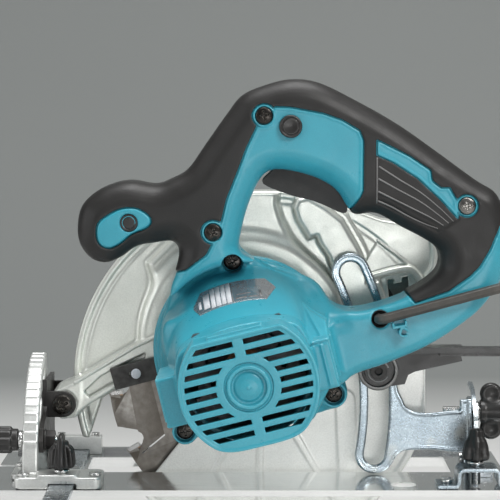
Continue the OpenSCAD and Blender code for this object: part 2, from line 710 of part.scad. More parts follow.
// involute gear outline of module 1
pressure_angle = 25;
addendum = 0.8;
dedendum = 1.25;
thinning = 0.12; // taken off each side of a tooth at the pitch circle
function involute(a) = tan(a)*180/PI - a;
function flank(base_r, r) = involute(acos(min(1, base_r/r)));
module gear(n) {
  pitch_r = n/2;
  base_r = pitch_r*cos(pressure_angle);
  root_r = pitch_r - dedendum;
  start_r = max(base_r, root_r);
  half = 90/n - thinning*57.3/pitch_r + involute(pressure_angle);
  // [radius, half angle] up one flank
  side = [for (k=[0:5]) let(r=start_r+(pitch_r+addendum-start_r)*k/5) [r, half-flank(base_r,r)]];
  circle(r=root_r, $fn=n*4);
  for (i=[0:n-1]) rotate(i*360/n) polygon(concat(
    [[root_r*0.7,-0.3], polar(root_r*0.98, -side[0][1])],
    [for (s=side) polar(s[0], -s[1])],
    [for (k=[5:-1:0]) polar(side[k][0], side[k][1])],
    [polar(root_r*0.98, side[0][1]), [root_r*0.7,0.3]]));
}
mesh_angle = atan2(motor.y-arbor.y, motor.x-arbor.x);
pinion_teeth = 9;
module spindle_gear() color(steel) slab_y(-29, -20) difference() {
  translate(arbor) rotate(mesh_angle) gear(43);
  translate(arbor) circle(r=7.52);
  for (i=[0:5]) translate(polar(14, i*60, arbor)) circle(r=3);
}
module inner_flange() color(steel) difference() {
  union() {
    cyl_y(20, -4, -1.4, arbor);
    cyl_y(14.9, -1.5, 0.6, arbor);
    ring_y(20, 16, -1.5, -0.75, arbor);
  }
  cyl_y(6.02, -5, 2, arbor);
}
module outer_flange() color(steel) difference() {
  union() {
    cyl_y(20, 2.1, 4.6, arbor);
    ring_y(20, 14, 0.75, 2.2, arbor);
  }
  cyl_y(4.2, 0, 6, arbor);
}
module blade_bolt() color(steel) difference() {
  union() {
    cyl_y(2.98, -18, 4.8, arbor);
    cyl_y(6.5, 4.7, 10, arbor);
    cyl_y(9, 4.7, 6.2, arbor);
  }
  slab_y(6, 11) translate(arbor) circle(r=2.9, $fn=6);
}

// gullet and tip outlines as [radius, angle]
gullet = [[blade_r+4,0],[blade_r-1,0.25],[blade_r-7.2,1.5],[blade_r-8.6,1.6],[blade_r-11,0.6],
  [blade_r-11.4,-5],[blade_r-8,-6.4],[blade_r-1.4,-8.8],[blade_r+4,-9.4]];
tip = [[blade_r-6.6,3.0],[blade_r-0.25,1.8],[blade_r,0.1],[blade_r-6.6,1.3]];
tooth_angles = [for (i=[0:teeth-1]) i*360/teeth + 5.3];
module blade() color([0.5,0.49,0.48]) difference() {
  union() {
    slab_y(-0.7, 0.7) difference() {
      translate(arbor) circle(r=blade_r-0.6, $fn=128);
      for (a=tooth_angles) translate(arbor) rotate(a) union() {
        polygon(polar_path(gullet));
        translate(polar(blade_r-8.9,-2)) circle(r=4, $fn=24);
      }
    }
    // carbide tips
    for (a=tooth_angles) about(arbor, a) slab_y(-1, 1) polygon(polar_path(tip));
  }
  cyl_y(blade_bore_r, -2, 2, arbor);
  // four slits
  for (i=[0:3]) about(arbor, i*90+30) slab_y(-1, 1)
    polygon(polar_path([[70,0],[88,2],[88,2.6],[70,0.8]]));
}

// ---------- armature ----------
module armature_shaft() color(steel) {
  cyl_y(6, -60, -37, motor);
  cyl_y(3.2, -37.1, -30.2, motor);
  cyl_y(5, -162, -59.9, motor);
  cyl_y(4, -171, -161.9, motor);
  slab_y(-30.3, -19) translate(motor) rotate(mesh_angle+180+180/pinion_teeth)
    gear(pinion_teeth);
}
module armature_core() color([0.4,0.38,0.36]) difference() {
  cyl_y(21.8, -124, -80, motor);
  cyl_y(5.02, -130, -70, motor);
  for (i=[0:11]) about(motor, i*30) translate([20,-125,-0.8]) cube([3,46,1.6]);
}
module commutator() color([0.72,0.45,0.25]) difference() {
  cyl_y(12.5, -148, -130, motor);
  cyl_y(5.02, -150, -128, motor);
  for (i=[0:23]) about(motor, i*15) translate([11.8,-149,-0.2]) cube([2,20,0.4]);
}
module fan() color([0.2,0.2,0.2]) difference() {
  union() {
    cyl_y(36, -66.5, -64.9, motor);
    cyl_y(9, -70, -64, motor);
    for (i=[0:14]) about(motor, i*24) translate([12,-71,-0.8]) cube([23,5,1.6]);
  }
  cyl_y(5.02, -75, -60.05, motor);
}

// ---------- lower guard ----------
guard_a0 = 215;
guard_a1 = 377;
module guard_sector(ro, ri) difference() {
  intersection() {
    translate(arbor) circle(r=ro, $fn=120);
    polygon(concat([arbor], arc(150, guard_a0, guard_a1, arbor, 8)));
  }
  translate(arbor) circle(r=ri, $fn=96);
}
module lower_guard() color([0.88,0.88,0.85]) difference() {
  union() {
    slab_y(-9, -7.4) guard_sector(99.4, 26);
    slab_y(-9, 9) guard_sector(102, 99.2);
    slab_y(7.4, 9) guard_sector(99.4, 42);
    ring_y(28.4, 24.1, -9.8, -5.4, arbor);
    slab_y(-9, -7.4) difference() {
      translate(arbor) circle(r=33);
      translate(arbor) circle(r=26);
    }
    // stiffening ribs on the motor-side wall
    for (a=[242,268,300]) slab_y(-9.6, -8.9)
      polygon(polar_path([[34,-2],[94,-0.8],[94,0.8],[34,2]], a, arbor));
  }
  // leading edge swept back
  slab_y(-11, 11)
    polygon(polar_path([[103.9,-2],[104,1],[88,6],[60,1],[58,-4]], guard_a0, arbor));
}
module guard_spring() color(steel) ring_y(31, 28.8, -9.9, -9.15, arbor);

sole_plate();
front_quadrant();
rear_quadrant();
bevel_pivots();
front_rule_knob();
rip_fence();
rear_rule_bracket();
rear_rule_knob();
far_rule_holder();
sole_screws();
front_angle_plate();
hinge_pin();
depth_guide();
front_bevel_knob();
front_bevel_nut();
rear_bevel_knob();
blade_case();
gear_housing();
bearing_retainer();
spindle_bearings();
guard_stop();
case_screws();
motor_housing();
motor_cap();
stator();
motor_bearings();
brush_caps();
carbon_brushes();
handle_cover();
grip_rubber_near();
grip_rubber_far();
knob_inset();
nameplate();
housing_screws();
handle_screws();
power_switch();
cord_guard();
power_cord();
depth_bolt();
key_clip();
trigger();
lock_off_button();
depth_lever();
shaft_lock();
shaft_lock_screw();
hex_key();
spindle();
spindle_gear();
inner_flange();
blade();
outer_flange();
blade_bolt();
armature_shaft();
armature_core();
commutator();
fan();
lower_guard();
guard_spring();
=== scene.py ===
# Circular saw, built over its CAD pieces.
#
# x runs along the cut, front at -x and rear at +x; z is up. The motor and the handle stand
# on the near side, -y, which faces the camera; the blade turns about y through the arbor.
# Shapes are given in millimetres and scaled to metres by MM as they become meshes. Castings
# and mouldings are distance fields (negative inside) on a grid, turned into quads by OpenVDB.
import functools
import itertools
import math
import bpy
import bmesh
import numpy as np
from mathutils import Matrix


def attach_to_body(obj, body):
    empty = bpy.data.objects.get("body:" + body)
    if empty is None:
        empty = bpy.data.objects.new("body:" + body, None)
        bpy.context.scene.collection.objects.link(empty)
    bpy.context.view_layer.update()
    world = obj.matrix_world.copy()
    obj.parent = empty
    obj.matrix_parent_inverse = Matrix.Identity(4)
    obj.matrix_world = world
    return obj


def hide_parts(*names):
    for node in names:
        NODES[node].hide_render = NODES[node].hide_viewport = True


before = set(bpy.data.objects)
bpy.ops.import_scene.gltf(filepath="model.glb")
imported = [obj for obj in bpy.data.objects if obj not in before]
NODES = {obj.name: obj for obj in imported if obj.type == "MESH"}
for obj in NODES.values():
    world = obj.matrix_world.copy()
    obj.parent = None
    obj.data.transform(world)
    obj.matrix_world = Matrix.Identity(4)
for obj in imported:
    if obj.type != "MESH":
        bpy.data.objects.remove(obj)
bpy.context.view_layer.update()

import openvdb
from mathutils import Vector

MM = 0.001


def polar(centre, radius, degrees):
    angle = math.radians(degrees)
    return (centre[0] + radius * math.cos(angle), centre[1] + radius * math.sin(angle))


def arc(centre, radius, angles):
    return [polar(centre, radius, angle) for angle in angles]


# ---------------------------------------------------------------- layout, (x, z)
ARBOR = (0.0, 58.3)
MOTOR = (-10.2, 82.2)
BARREL = (-10.4, 82.6)      # axis of the outer motor barrel
CAP = (-9.0, 80.0)
CAP_HUB = (CAP[0] + 0.34, CAP[1] - 1.36)
PIVOT = (-119.7, 47.0)      # the body swings about this for cutting depth
GUIDE_RADIUS = 189          # arc of the depth guide round the pivot
LEVER = polar(PIVOT, GUIDE_RADIUS, 6.5)
HOUSING_SCREWS = [(-46, 34.9), (41.1, 56.8), (-18.2, 135)]
HANDLE_SCREWS = [(0, 220), (-29, 154), (115, 169)]
LOCK_BUTTON = (15, 214)
KNOB_PLUG = (-76.8, 159.4)
TILT = math.radians(14)     # lean of the cap, its slots and the flats on the barrel
SWING = math.radians(14)    # body swung fully down


# ---------------------------------------------------------------- shader nodes
def rgb(value):
    """A colour, or a grey given as one number."""
    return value if isinstance(value, tuple) else (value,) * 3


def rgba(value):
    return (*value, 1) if isinstance(value, tuple) else value


class Nodes:
    """An emptied node tree; inputs may be values or output sockets."""

    def __init__(self, owner):
        owner.use_nodes = True
        self.tree = owner.node_tree
        self.tree.nodes.clear()

    def add(self, kind, inputs={}, **settings):
        node = self.tree.nodes.new("ShaderNode" + kind)
        for key, value in settings.items():
            setattr(node, key, value)
        for key, value in inputs.items():
            if isinstance(value, bpy.types.NodeSocket):
                self.tree.links.new(value, node.inputs[key])
            else:
                node.inputs[key].default_value = value
        return node

    def noise(self, vector, scale, detail, roughness=0.5):
        return self.add("TexNoise", {"Vector": vector, "Scale": scale, "Detail": detail,
                                     "Roughness": roughness}).outputs["Fac"]

    def remap(self, value, low, high, to_low=0.0, to_high=1.0):
        return self.add("MapRange", {"Value": value, "From Min": low, "From Max": high,
                                     "To Min": to_low, "To Max": to_high}).outputs[0]

    def mix(self, factor, first, second):
        return self.add("Mix", {}, data_type="RGBA"), factor, first, second

    def blend(self, factor, first, second):
        """Colour going from first to second as the factor rises."""
        node = self.add("Mix", data_type="RGBA")
        for key, value in (("Factor", factor), ("A", rgba(first)), ("B", rgba(second))):
            if isinstance(value, bpy.types.NodeSocket):
                self.tree.links.new(value, node.inputs[key])
            else:
                node.inputs[key].default_value = value
        return node.outputs["Result"]

    def brighten(self, color, amount):
        return self.add("HueSaturation", {"Value": amount, "Color": color}).outputs["Color"]

    def math(self, operation, first, second, **settings):
        return self.add("Math", {0: first, 1: second}, operation=operation, **settings).outputs[0]

    def bump(self, height, distance, **normal):
        return self.add("Bump", {"Strength": 1.0, "Distance": distance, "Height": height,
                                 **normal}).outputs[0]


# The base mixer is blend(); nothing else writes Mix nodes.
del Nodes.mix


def zinc_crystals(nodes, coords, color, scale):
    """Small crystals and a faint warm bloom."""
    cells = nodes.add("TexVoronoi", {"Vector": coords, "Scale": scale})
    level = nodes.add("SeparateColor", {0: cells.outputs["Color"]}).outputs[0]
    color = nodes.brighten(color, nodes.remap(level, low=0.0, high=1.0, to_low=0.86, to_high=1.16))
    cloud = nodes.noise(coords, scale=38.0, detail=2.0)
    bloom = nodes.remap(cloud, low=0.60, high=0.74, to_high=0.4)
    return nodes.blend(bloom, color, (0.66, 0.56, 0.36))


def paint_cap_inside_shade(nodes, coords, color):
    """Painted shade on the unlit inside of the slotted cap: within its wall, behind its face,
    below its flat.
    """
    inner_radius, face_y, flat_height = 0.0347, -0.1829, 0.0272
    hub_x, hub_z = CAP_HUB[0] * MM, CAP_HUB[1] * MM
    parts = nodes.add("SeparateXYZ", {0: coords}).outputs
    flat = nodes.add("CombineXYZ", {0: parts["X"], 1: 0.0, 2: parts["Z"]}).outputs[0]
    reach = nodes.add("VectorMath", {0: flat, 1: (hub_x, 0.0, hub_z)}, operation="DISTANCE")
    within = nodes.math("LESS_THAN", reach.outputs["Value"], inner_radius)
    behind = nodes.math("GREATER_THAN", parts["Y"], face_y)
    upward = (-math.sin(TILT), 0.0, math.cos(TILT))
    height = nodes.add("VectorMath", {0: flat, 1: upward}, operation="DOT_PRODUCT")
    limit = hub_x * upward[0] + hub_z * upward[2] + flat_height
    below = nodes.math("LESS_THAN", height.outputs["Value"], limit)
    # painted shade: the region inside the cap is made near-black
    mask = nodes.math("MULTIPLY", nodes.math("MULTIPLY", within, behind), below)
    return nodes.blend(mask, color, (0.004, 0.012, 0.015))


MATERIALS = {}
DRIFT_SCALE = 35     # noise scale of the large colour drift


def new_material(name):
    material = bpy.data.materials.new(name)
    nodes = Nodes(material)
    output = nodes.add("OutputMaterial")
    return material, nodes, output, nodes.add("BsdfPrincipled")


def finish(name, color, dark, edge, rough=0.4, spread=0.1, metallic=0.0, grain=900,
           grain_depth=4e-5, edge_wear_and_light=0.5, dents=0.0, dent_scale=120, anisotropy=0.0, specular=0.5,
           occlusion_shade=0.0, stretch=(1, 1, 1), hollow=0.35, inside=False, crystals=0.0):
    """Colour drift, fine grain, uneven roughness (rough +- spread), worn edges with painted
    highlight, painted shade in hollows.

    grain and dent_scale are noise scales, grain_depth and dents their bump heights in metres;
    edge_wear_and_light, hollow and occlusion_shade are the strengths of the edge tint (part wear,
    part painted highlight), the painted hollow shade and the painted corner shade.
    """
    dark = rgb(dark)
    material, nodes, output, surface = new_material(name)
    link = nodes.tree.links.new
    link(surface.outputs[0], output.inputs[0])
    coords = nodes.add("TexCoord").outputs["Object"]
    stretched = nodes.add("Mapping", {"Vector": coords, "Scale": stretch}).outputs[0]
    drift = nodes.noise(coords, scale=DRIFT_SCALE, detail=5.0, roughness=0.6)
    fine = nodes.noise(stretched, scale=grain, detail=3.0, roughness=0.55)
    tint = nodes.blend(nodes.remap(drift, low=0.3, high=0.6), dark, rgb(color))
    speckle = nodes.remap(fine, low=0.35, high=0.65, to_low=0.94, to_high=1.05)
    tint = nodes.brighten(tint, speckle)

    bend = nodes.add("NewGeometry").outputs["Pointiness"]
    # edges lightened towards the edge colour: partly wear, partly painted highlight
    worn_and_lit_edges = nodes.remap(bend, low=0.515, high=0.60, to_high=edge_wear_and_light)
    patchy = nodes.math("MULTIPLY", worn_and_lit_edges, nodes.noise(coords, scale=260.0, detail=3.0))
    patchy = nodes.math("MULTIPLY", patchy, 1.8, use_clamp=True)
    tint = nodes.blend(patchy, tint, rgb(edge))
    # painted shade: hollows and creases darkened
    sunk = nodes.remap(bend, low=0.40, high=0.485, to_low=hollow, to_high=0.0)
    tint = nodes.blend(sunk, tint, tuple(c * 0.35 for c in dark))
    # painted shade: corners darkened by ambient occlusion
    if occlusion_shade:
        corners = nodes.add("AmbientOcclusion", {"Distance": 0.006}, samples=4).outputs["AO"]
        amount = nodes.remap(corners, low=0.35, high=0.95, to_low=occlusion_shade, to_high=0.0)
        tint = nodes.blend(amount, tint, tuple(c * 0.3 for c in dark))
    if crystals:
        tint = zinc_crystals(nodes, coords, tint, crystals)
    # painted shade on the inside of the cap
    if inside:
        tint = paint_cap_inside_shade(nodes, coords, tint)
    link(tint, surface.inputs["Base Color"])

    surface.inputs["Metallic"].default_value = metallic
    surface.inputs["Specular IOR Level"].default_value = specular
    surface.inputs["Anisotropic"].default_value = anisotropy
    smears = nodes.noise(stretched, scale=DRIFT_SCALE * 3.1, detail=6.0, roughness=0.65)
    roughness = nodes.remap(smears, low=0.3, high=0.7,
                            to_low=rough - spread, to_high=rough + spread)
    link(roughness, surface.inputs["Roughness"])
    normal = nodes.bump(fine, distance=grain_depth)
    if dents:
        dimples = nodes.noise(coords, scale=dent_scale, detail=2.0)
        normal = nodes.bump(dimples, distance=dents, Normal=normal)
    link(normal, surface.inputs["Normal"])
    MATERIALS[name] = material


# plastics and rubbers
TEAL = dict(color=(0.040, 0.325, 0.418), dark=(0.035, 0.292, 0.380), rough=0.32, spread=0.06,
            grain=1500, grain_depth=3e-5, dents=5e-5, dent_scale=60, hollow=0.45)
finish("teal_plastic", edge=(0.16, 0.56, 0.66), edge_wear_and_light=0.45, **TEAL)
# the cap's copy of the teal: stronger, brighter edges as painted highlight along its rim, and
# painted shade inside
finish("teal_cap", edge=(0.20, 0.62, 0.72), edge_wear_and_light=0.7, inside=True, **TEAL)
# the rubber's lighter edge colour is a painted highlight
finish("grip_rubber", (0.024, 0.023, 0.0225), (0.018, 0.0175, 0.017), edge=0.08, rough=0.42,
       spread=0.07, grain=1300, grain_depth=6e-5, edge_wear_and_light=0.4, hollow=0.4, specular=0.30)
finish("grip_rib", (0.155, 0.15, 0.148), (0.10, 0.098, 0.096), edge=0.25, rough=0.42,
       spread=0.06, grain=1300, grain_depth=5e-5, edge_wear_and_light=0.4)
finish("black_plastic", (0.020, 0.019, 0.018), (0.013, 0.012, 0.012), edge=0.07, rough=0.33,
       spread=0.08, grain=1400)
finish("cord_rubber", (0.075, 0.070, 0.066), (0.055, 0.052, 0.050), edge=(0.13, 0.12, 0.12),
       rough=0.55, spread=0.06, grain=1800, grain_depth=8e-5, edge_wear_and_light=0.3)
# light metals
finish("magnesium", (0.74, 0.76, 0.71), (0.66, 0.68, 0.63), edge=(0.86, 0.88, 0.84), rough=0.33,
       spread=0.05, metallic=0.55, grain=1100, dents=8e-5, dent_scale=45, hollow=0.5)
finish("guard_aluminium", (0.97, 0.975, 0.94), (0.92, 0.925, 0.89), edge=(0.95, 0.96, 0.93),
       rough=0.40, spread=0.06, metallic=0.30, grain=1200, grain_depth=5e-5, dents=6e-5,
       dent_scale=50, hollow=0.4)
finish("sole_aluminium", (0.88, 0.89, 0.88), (0.80, 0.81, 0.81), edge=0.9, rough=0.13,
       spread=0.05, metallic=0.97, grain=700, grain_depth=1e-5, stretch=(0.06, 1, 1),
       anisotropy=0.4, hollow=0.2)
finish("cast_aluminium", (0.60, 0.61, 0.58), (0.48, 0.49, 0.47), edge=(0.85, 0.86, 0.85),
       rough=0.36, metallic=0.9, grain=800, grain_depth=9e-5, edge_wear_and_light=0.6, dents=2e-4,
       dent_scale=160, occlusion_shade=0.5)
finish("cast_bright", (0.72, 0.73, 0.71), (0.60, 0.61, 0.59), edge=(0.93, 0.94, 0.93),
       rough=0.34, spread=0.08, metallic=0.6, grain_depth=6e-5, edge_wear_and_light=0.6, dents=1e-4, occlusion_shade=0.35)
# steels and copper
finish("zinc_steel", (0.36, 0.42, 0.46), (0.27, 0.325, 0.365), edge=(0.85, 0.88, 0.90),
       rough=0.27, spread=0.06, metallic=1.0, edge_wear_and_light=0.75, dents=6e-5, dent_scale=90,
       crystals=1500.0)
finish("black_steel", (0.012, 0.0105, 0.0095), (0.008, 0.007, 0.0065), edge=(0.16, 0.155, 0.15),
       rough=0.38, spread=0.08, metallic=0.15, grain_depth=6e-5, edge_wear_and_light=0.6, specular=0.30)
finish("blade_steel", (0.135, 0.118, 0.10), (0.10, 0.087, 0.074), edge=(0.55, 0.53, 0.50),
       rough=0.34, spread=0.06, metallic=0.9, grain=1200, grain_depth=1e-5, edge_wear_and_light=0.6)
finish("steel", (0.55, 0.55, 0.54), 0.42, edge=0.85, rough=0.24, spread=0.08, metallic=1.0,
       grain_depth=3e-5, edge_wear_and_light=0.6)
finish("copper", (0.62, 0.30, 0.17), (0.42, 0.18, 0.10), edge=(0.8, 0.5, 0.35), rough=0.32,
       metallic=1.0, grain=1400, grain_depth=1e-4)
finish("core_steel", (0.10, 0.10, 0.11), (0.06, 0.06, 0.065), edge=0.3, rough=0.5,
       metallic=0.8, grain=1500, grain_depth=1e-4)
finish("key_steel", (0.060, 0.056, 0.052), (0.040, 0.037, 0.034), edge=(0.25, 0.23, 0.2),
       rough=0.46, metallic=0.35, grain=1200, grain_depth=5e-5)
finish("gun_ring", (0.13, 0.13, 0.125), (0.09, 0.09, 0.088), edge=0.4, rough=0.34,
       spread=0.08, metallic=0.6, grain=1000, grain_depth=6e-5, edge_wear_and_light=0.6)
finish("carbide", (0.52, 0.51, 0.49), (0.40, 0.39, 0.38), edge=0.8, rough=0.30, spread=0.08,
       metallic=0.9, grain=1600, grain_depth=3e-5)
finish("braze", (0.42, 0.25, 0.14), (0.28, 0.16, 0.09), edge=(0.6, 0.42, 0.28), rough=0.35,
       metallic=0.8, grain=1600, grain_depth=5e-5)
# screws
finish("black_screw", (0.050, 0.046, 0.042), (0.028, 0.025, 0.023), edge=(0.40, 0.36, 0.30),
       rough=0.26, spread=0.08, metallic=0.9, grain=1000, edge_wear_and_light=0.7)
finish("gunmetal_screw", (0.26, 0.25, 0.23), (0.16, 0.155, 0.15), edge=(0.55, 0.52, 0.45),
       rough=0.26, spread=0.08, metallic=0.95, grain=1000, edge_wear_and_light=0.7)
finish("chrome_screw", (0.70, 0.70, 0.68), (0.50, 0.50, 0.49), edge=0.9, rough=0.16,
       spread=0.07, metallic=1.0, grain_depth=3e-5, edge_wear_and_light=0.6)
# rating plate
finish("plate", (0.56, 0.58, 0.60), (0.44, 0.46, 0.48), edge=0.8, rough=0.25, spread=0.08,
       metallic=0.85, grain=600, grain_depth=1e-5, stretch=(1, 1, 0.1))
finish("plate_pale", (0.60, 0.63, 0.68), (0.50, 0.54, 0.60), edge=0.7, spread=0.08,
       grain_depth=1e-5)
finish("plate_ink", (0.14, 0.14, 0.145), (0.10, 0.10, 0.105), edge=0.3, rough=0.35,
       spread=0.08, metallic=0.4, grain_depth=1e-5)

# CAD materials that have a finish of the same name; any other becomes steel
CAD_FINISHES = {
    "teal_plastic", "grip_rubber", "black_plastic", "magnesium", "guard_aluminium",
    "sole_aluminium", "cast_aluminium", "zinc_steel", "black_steel", "blade_steel", "steel",
    "copper", "core_steel", "plate"}


# ---------------------------------------------------------------- distance fields
def overlap(*fields):
    return functools.reduce(np.maximum, fields)


def join(*fields):
    return functools.reduce(np.minimum, fields)


def between(value, low, high):
    return overlap(low - value, value - high)


def length(*parts):
    return np.sqrt(sum(part ** 2 for part in parts))


def fuse(a, b, fillet):
    """Union with a rounded inner corner."""
    h = np.maximum(fillet - np.abs(a - b), 0) / fillet
    return np.minimum(a, b) - h * h * fillet / 4


def trim(a, b, fillet):
    """Intersection with a rounded edge."""
    return -fuse(-a, -b, fillet)


def cut(field, tool, fillet=0):
    """Take the tool away, leaving a rounded edge if a fillet is given."""
    return trim(field, -tool, fillet) if fillet else np.maximum(field, -tool)


def rounded(*walls, edge):
    """Walls meeting at right angles, with an edge radius."""
    walls = [wall + edge for wall in walls]
    outside = length(*[np.maximum(wall, 0) for wall in walls])
    return np.minimum(overlap(*walls), 0) + outside - edge


def polygon(points, u, v):
    points = [tuple(map(float, point)) for point in points]
    shape = np.broadcast(u, v).shape
    nearest = np.full(shape, 1e12, np.float32)
    inside = np.zeros(shape, bool)
    for k in range(len(points)):
        a, b = points[k - 1], points[k]
        du, dv = b[0] - a[0], b[1] - a[1]
        length2 = du * du + dv * dv
        if length2 < 1e-12:
            continue
        from_u, from_v = u - a[0], v - a[1]
        t = np.clip((from_u * du + from_v * dv) / length2, 0, 1)
        nearest = np.minimum(nearest, (from_u - du * t) ** 2 + (from_v - dv * t) ** 2)
        if dv != 0:
            crosses = (a[1] <= v) != (b[1] <= v)
            inside ^= crosses & (u < a[0] + (v - a[1]) * (du / dv))
    return (np.where(inside, -1, 1) * np.sqrt(nearest)).astype(np.float32)


def segment(point, start, end):
    """Distance from a line segment, in as many dimensions as the points have."""
    edge = [b - a for a, b in zip(start, end)]
    length2 = sum(e * e for e in edge)
    along = sum((p - a) * e for p, a, e in zip(point, start, edge))
    t = np.clip(along / length2, 0, 1)
    return length(*[p - a - e * t for p, a, e in zip(point, start, edge)])


def curve(points, steps, closed=True):
    """Catmull-Rom curve through the points."""
    points = np.array(points, float)
    count = len(points)
    result = []
    for i in range(count if closed else count - 1):
        if closed:
            a, b, c, d = (points[(i + k) % count] for k in (-1, 0, 1, 2))
        else:
            a, b, c, d = (points[min(max(i + k, 0), count - 1)] for k in (-1, 0, 1, 2))
        for k in range(steps):
            t = k / steps
            result.append(0.5 * ((2 * b) + (c - a) * t + (2 * a - 5 * b + 4 * c - d) * t * t
                                 + (3 * b - a - 3 * c + d) * t ** 3))
    if not closed:
        result.append(points[-1])
    return [tuple(point) for point in result]


class Grid:
    """Sample points filling the box from low to high."""

    def __init__(self, low, high, step):
        self.low = np.array(low, np.float32)
        self.step = step
        span = np.array(high, float) - np.array(low, float)
        self.count = np.ceil(span / step).astype(int) + 1
        self.axes = [self.low[i] + step * np.arange(self.count[i], dtype=np.float32)
                     for i in range(3)]
        self.x = self.axes[0][:, None, None]
        self.y = self.axes[1][None, :, None]
        self.z = self.axes[2][None, None, :]

    def xz(self, points):
        return polygon(points, self.axes[0][:, None], self.axes[2][None, :])[:, None, :]

    def yz(self, points):
        return polygon(points, self.axes[1][:, None], self.axes[2][None, :])[None, :, :]

    def circle(self, centre, radius):
        return length(self.x - centre[0], self.z - centre[1]) - radius

    def slab(self, outline, y0, y1, edge, far_edge=None):
        """Outline field between y0 and y1, rounded by edge at y0 and far_edge at y1."""
        middle = (y0 + y1) / 2
        radius = np.where(self.y < middle, edge, edge if far_edge is None else far_edge)
        return rounded(outline, np.abs(self.y - middle) - (y1 - y0) / 2, edge=radius)

    def turned(self, profile, centre):
        """(radius, y) profile turned about y through centre, read from a 0.25 mm table."""
        xs, ys, zs = self.axes
        reach = 1 + max(math.hypot(xs[i] - centre[0], zs[j] - centre[1])
                        for i in (0, -1) for j in (0, -1))
        radii = np.arange(0, reach + 0.5, 0.25, dtype=np.float32)
        table = polygon(profile, radii[:, None], ys[None, :])
        place = length(xs[:, None] - centre[0], zs[None, :] - centre[1]) / 0.25
        i = np.clip(place.astype(int), 0, len(radii) - 2)
        share = (place - i).astype(np.float32)[..., None]
        field = table[i] * (1 - share) + table[i + 1] * share
        return np.ascontiguousarray(np.moveaxis(field, 2, 1))

    def tilted(self, centre):
        """Coordinates across and up the tilted cap axes."""
        dx, dz = self.x - centre[0], self.z - centre[1]
        cos, sin = math.cos(TILT), math.sin(TILT)
        return dx * cos + dz * sin, -dx * sin + dz * cos


def sample(field, grid, points):
    """Field values at points, trilinear."""
    place = np.clip((points - grid.low) / grid.step, 0, np.array(field.shape) - 1.001)
    cell = place.astype(int)
    share = (place - cell).astype(np.float32)
    total = 0
    for corner in itertools.product((0, 1), repeat=3):
        weight = np.where(corner, share, 1 - share).prod(1)
        total = total + weight * field[tuple((cell + corner).T)]
    return total


def gradient(field, grid, points, reach=0.75):
    """Slope of the field, over a reach given in grid steps."""
    reach = grid.step * reach
    slope = np.zeros_like(points)
    for k in range(3):
        shift = np.zeros(3, np.float32)
        shift[k] = reach
        slope[:, k] = (sample(field, grid, points + shift)
                       - sample(field, grid, points - shift)) / (2 * reach)
    return slope


# ---------------------------------------------------------------- objects
def add_object(name, mesh, material):
    ob = bpy.data.objects.new(name, mesh)
    bpy.context.scene.collection.objects.link(ob)
    mesh.materials.append(material)
    return ob


def attach(ob, body, replaces):
    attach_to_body(ob, body)
    if replaces:
        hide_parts(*replaces)


def add_bevel(ob, width, segments, angle, keep_sharp):
    bevel = ob.modifiers.new("edge", "BEVEL")
    bevel.width = width * MM
    bevel.segments = segments
    bevel.limit_method = "ANGLE"
    bevel.angle_limit = math.radians(angle)
    bevel.miter_outer = "MITER_ARC"
    normals = ob.modifiers.new("wn", "WEIGHTED_NORMAL")
    normals.keep_sharp = keep_sharp


def field_mesh(name, grid, field, slot, *replaces, finish=None, body="saw_body"):
    """Piece at the zero level of the field; its finish is named like its slot by default."""
    field = np.array(np.broadcast_to(field, tuple(grid.count)), dtype=np.float32, order="C",
                     copy=True)
    # close the surface at the edge of the grid
    for axis in range(3):
        face = [slice(None)] * 3
        for end in (0, -1):
            face[axis] = end
            field[tuple(face)] = np.maximum(field[tuple(face)], 0.5 * grid.step)
    band = 3 * grid.step
    volume = openvdb.FloatGrid(band)
    volume.copyFromArray(np.clip(field, -band, band))
    points, quads = volume.convertToQuads(0.0)
    points = points.astype(np.float32) * grid.step + grid.low
    quads = quads.astype(np.int32)
    # draw the points onto the surface
    for _ in range(2):
        slope = gradient(field, grid, points)
        slope2 = np.maximum((slope ** 2).sum(1), 0.15)
        limit = 0.35 * grid.step
        move = np.clip(sample(field, grid, points) / slope2, -limit, limit)
        points = points - slope * move[:, None]
    # turn the faces outward
    normal = np.cross(points[quads[:, 2]] - points[quads[:, 0]],
                      points[quads[:, 3]] - points[quads[:, 1]])
    if (normal * gradient(field, grid, points[quads].mean(1))).sum() < 0:
        quads = quads[:, ::-1]

    mesh = bpy.data.meshes.new(name)
    mesh.vertices.add(len(points))
    mesh.vertices.foreach_set("co", (points * MM).ravel())
    mesh.loops.add(quads.size)
    mesh.loops.foreach_set("vertex_index", np.ascontiguousarray(quads).ravel())
    mesh.polygons.add(len(quads))
    mesh.polygons.foreach_set("loop_start", np.arange(0, quads.size, 4, dtype=np.int32))
    mesh.update(calc_edges=True)
    mesh.validate()
    mesh.polygons.foreach_set("use_smooth", np.ones(len(mesh.polygons), bool))
    places = np.zeros(len(mesh.vertices) * 3, np.float32)
    mesh.vertices.foreach_get("co", places)
    normals = gradient(field, grid, places.reshape(-1, 3) / MM, reach=0.6)
    normals /= np.maximum(np.linalg.norm(normals, axis=1, keepdims=True), 1e-6)
    mesh.normals_split_custom_set_from_vertices(normals.tolist())
    ob = add_object(name, mesh, MATERIALS[finish or slot])
    attach(ob, body, replaces)
    return ob


def mesh_piece(name, bm, slot, *replaces, finish=None, body="saw_body", bevel=0.0, segments=2,
               angle=32, smooth=True):
    mesh = bpy.data.meshes.new(name)
    bmesh.ops.recalc_face_normals(bm, faces=bm.faces)
    bm.to_mesh(mesh)
    bm.free()
    ob = add_object(name, mesh, MATERIALS[finish or slot])
    for face in mesh.polygons:
        face.use_smooth = smooth
    if bevel:
        add_bevel(ob, bevel, segments, angle, keep_sharp=True)
    attach(ob, body, replaces)


def add_vert(bm, point):
    return bm.verts.new(Vector(point) * MM)


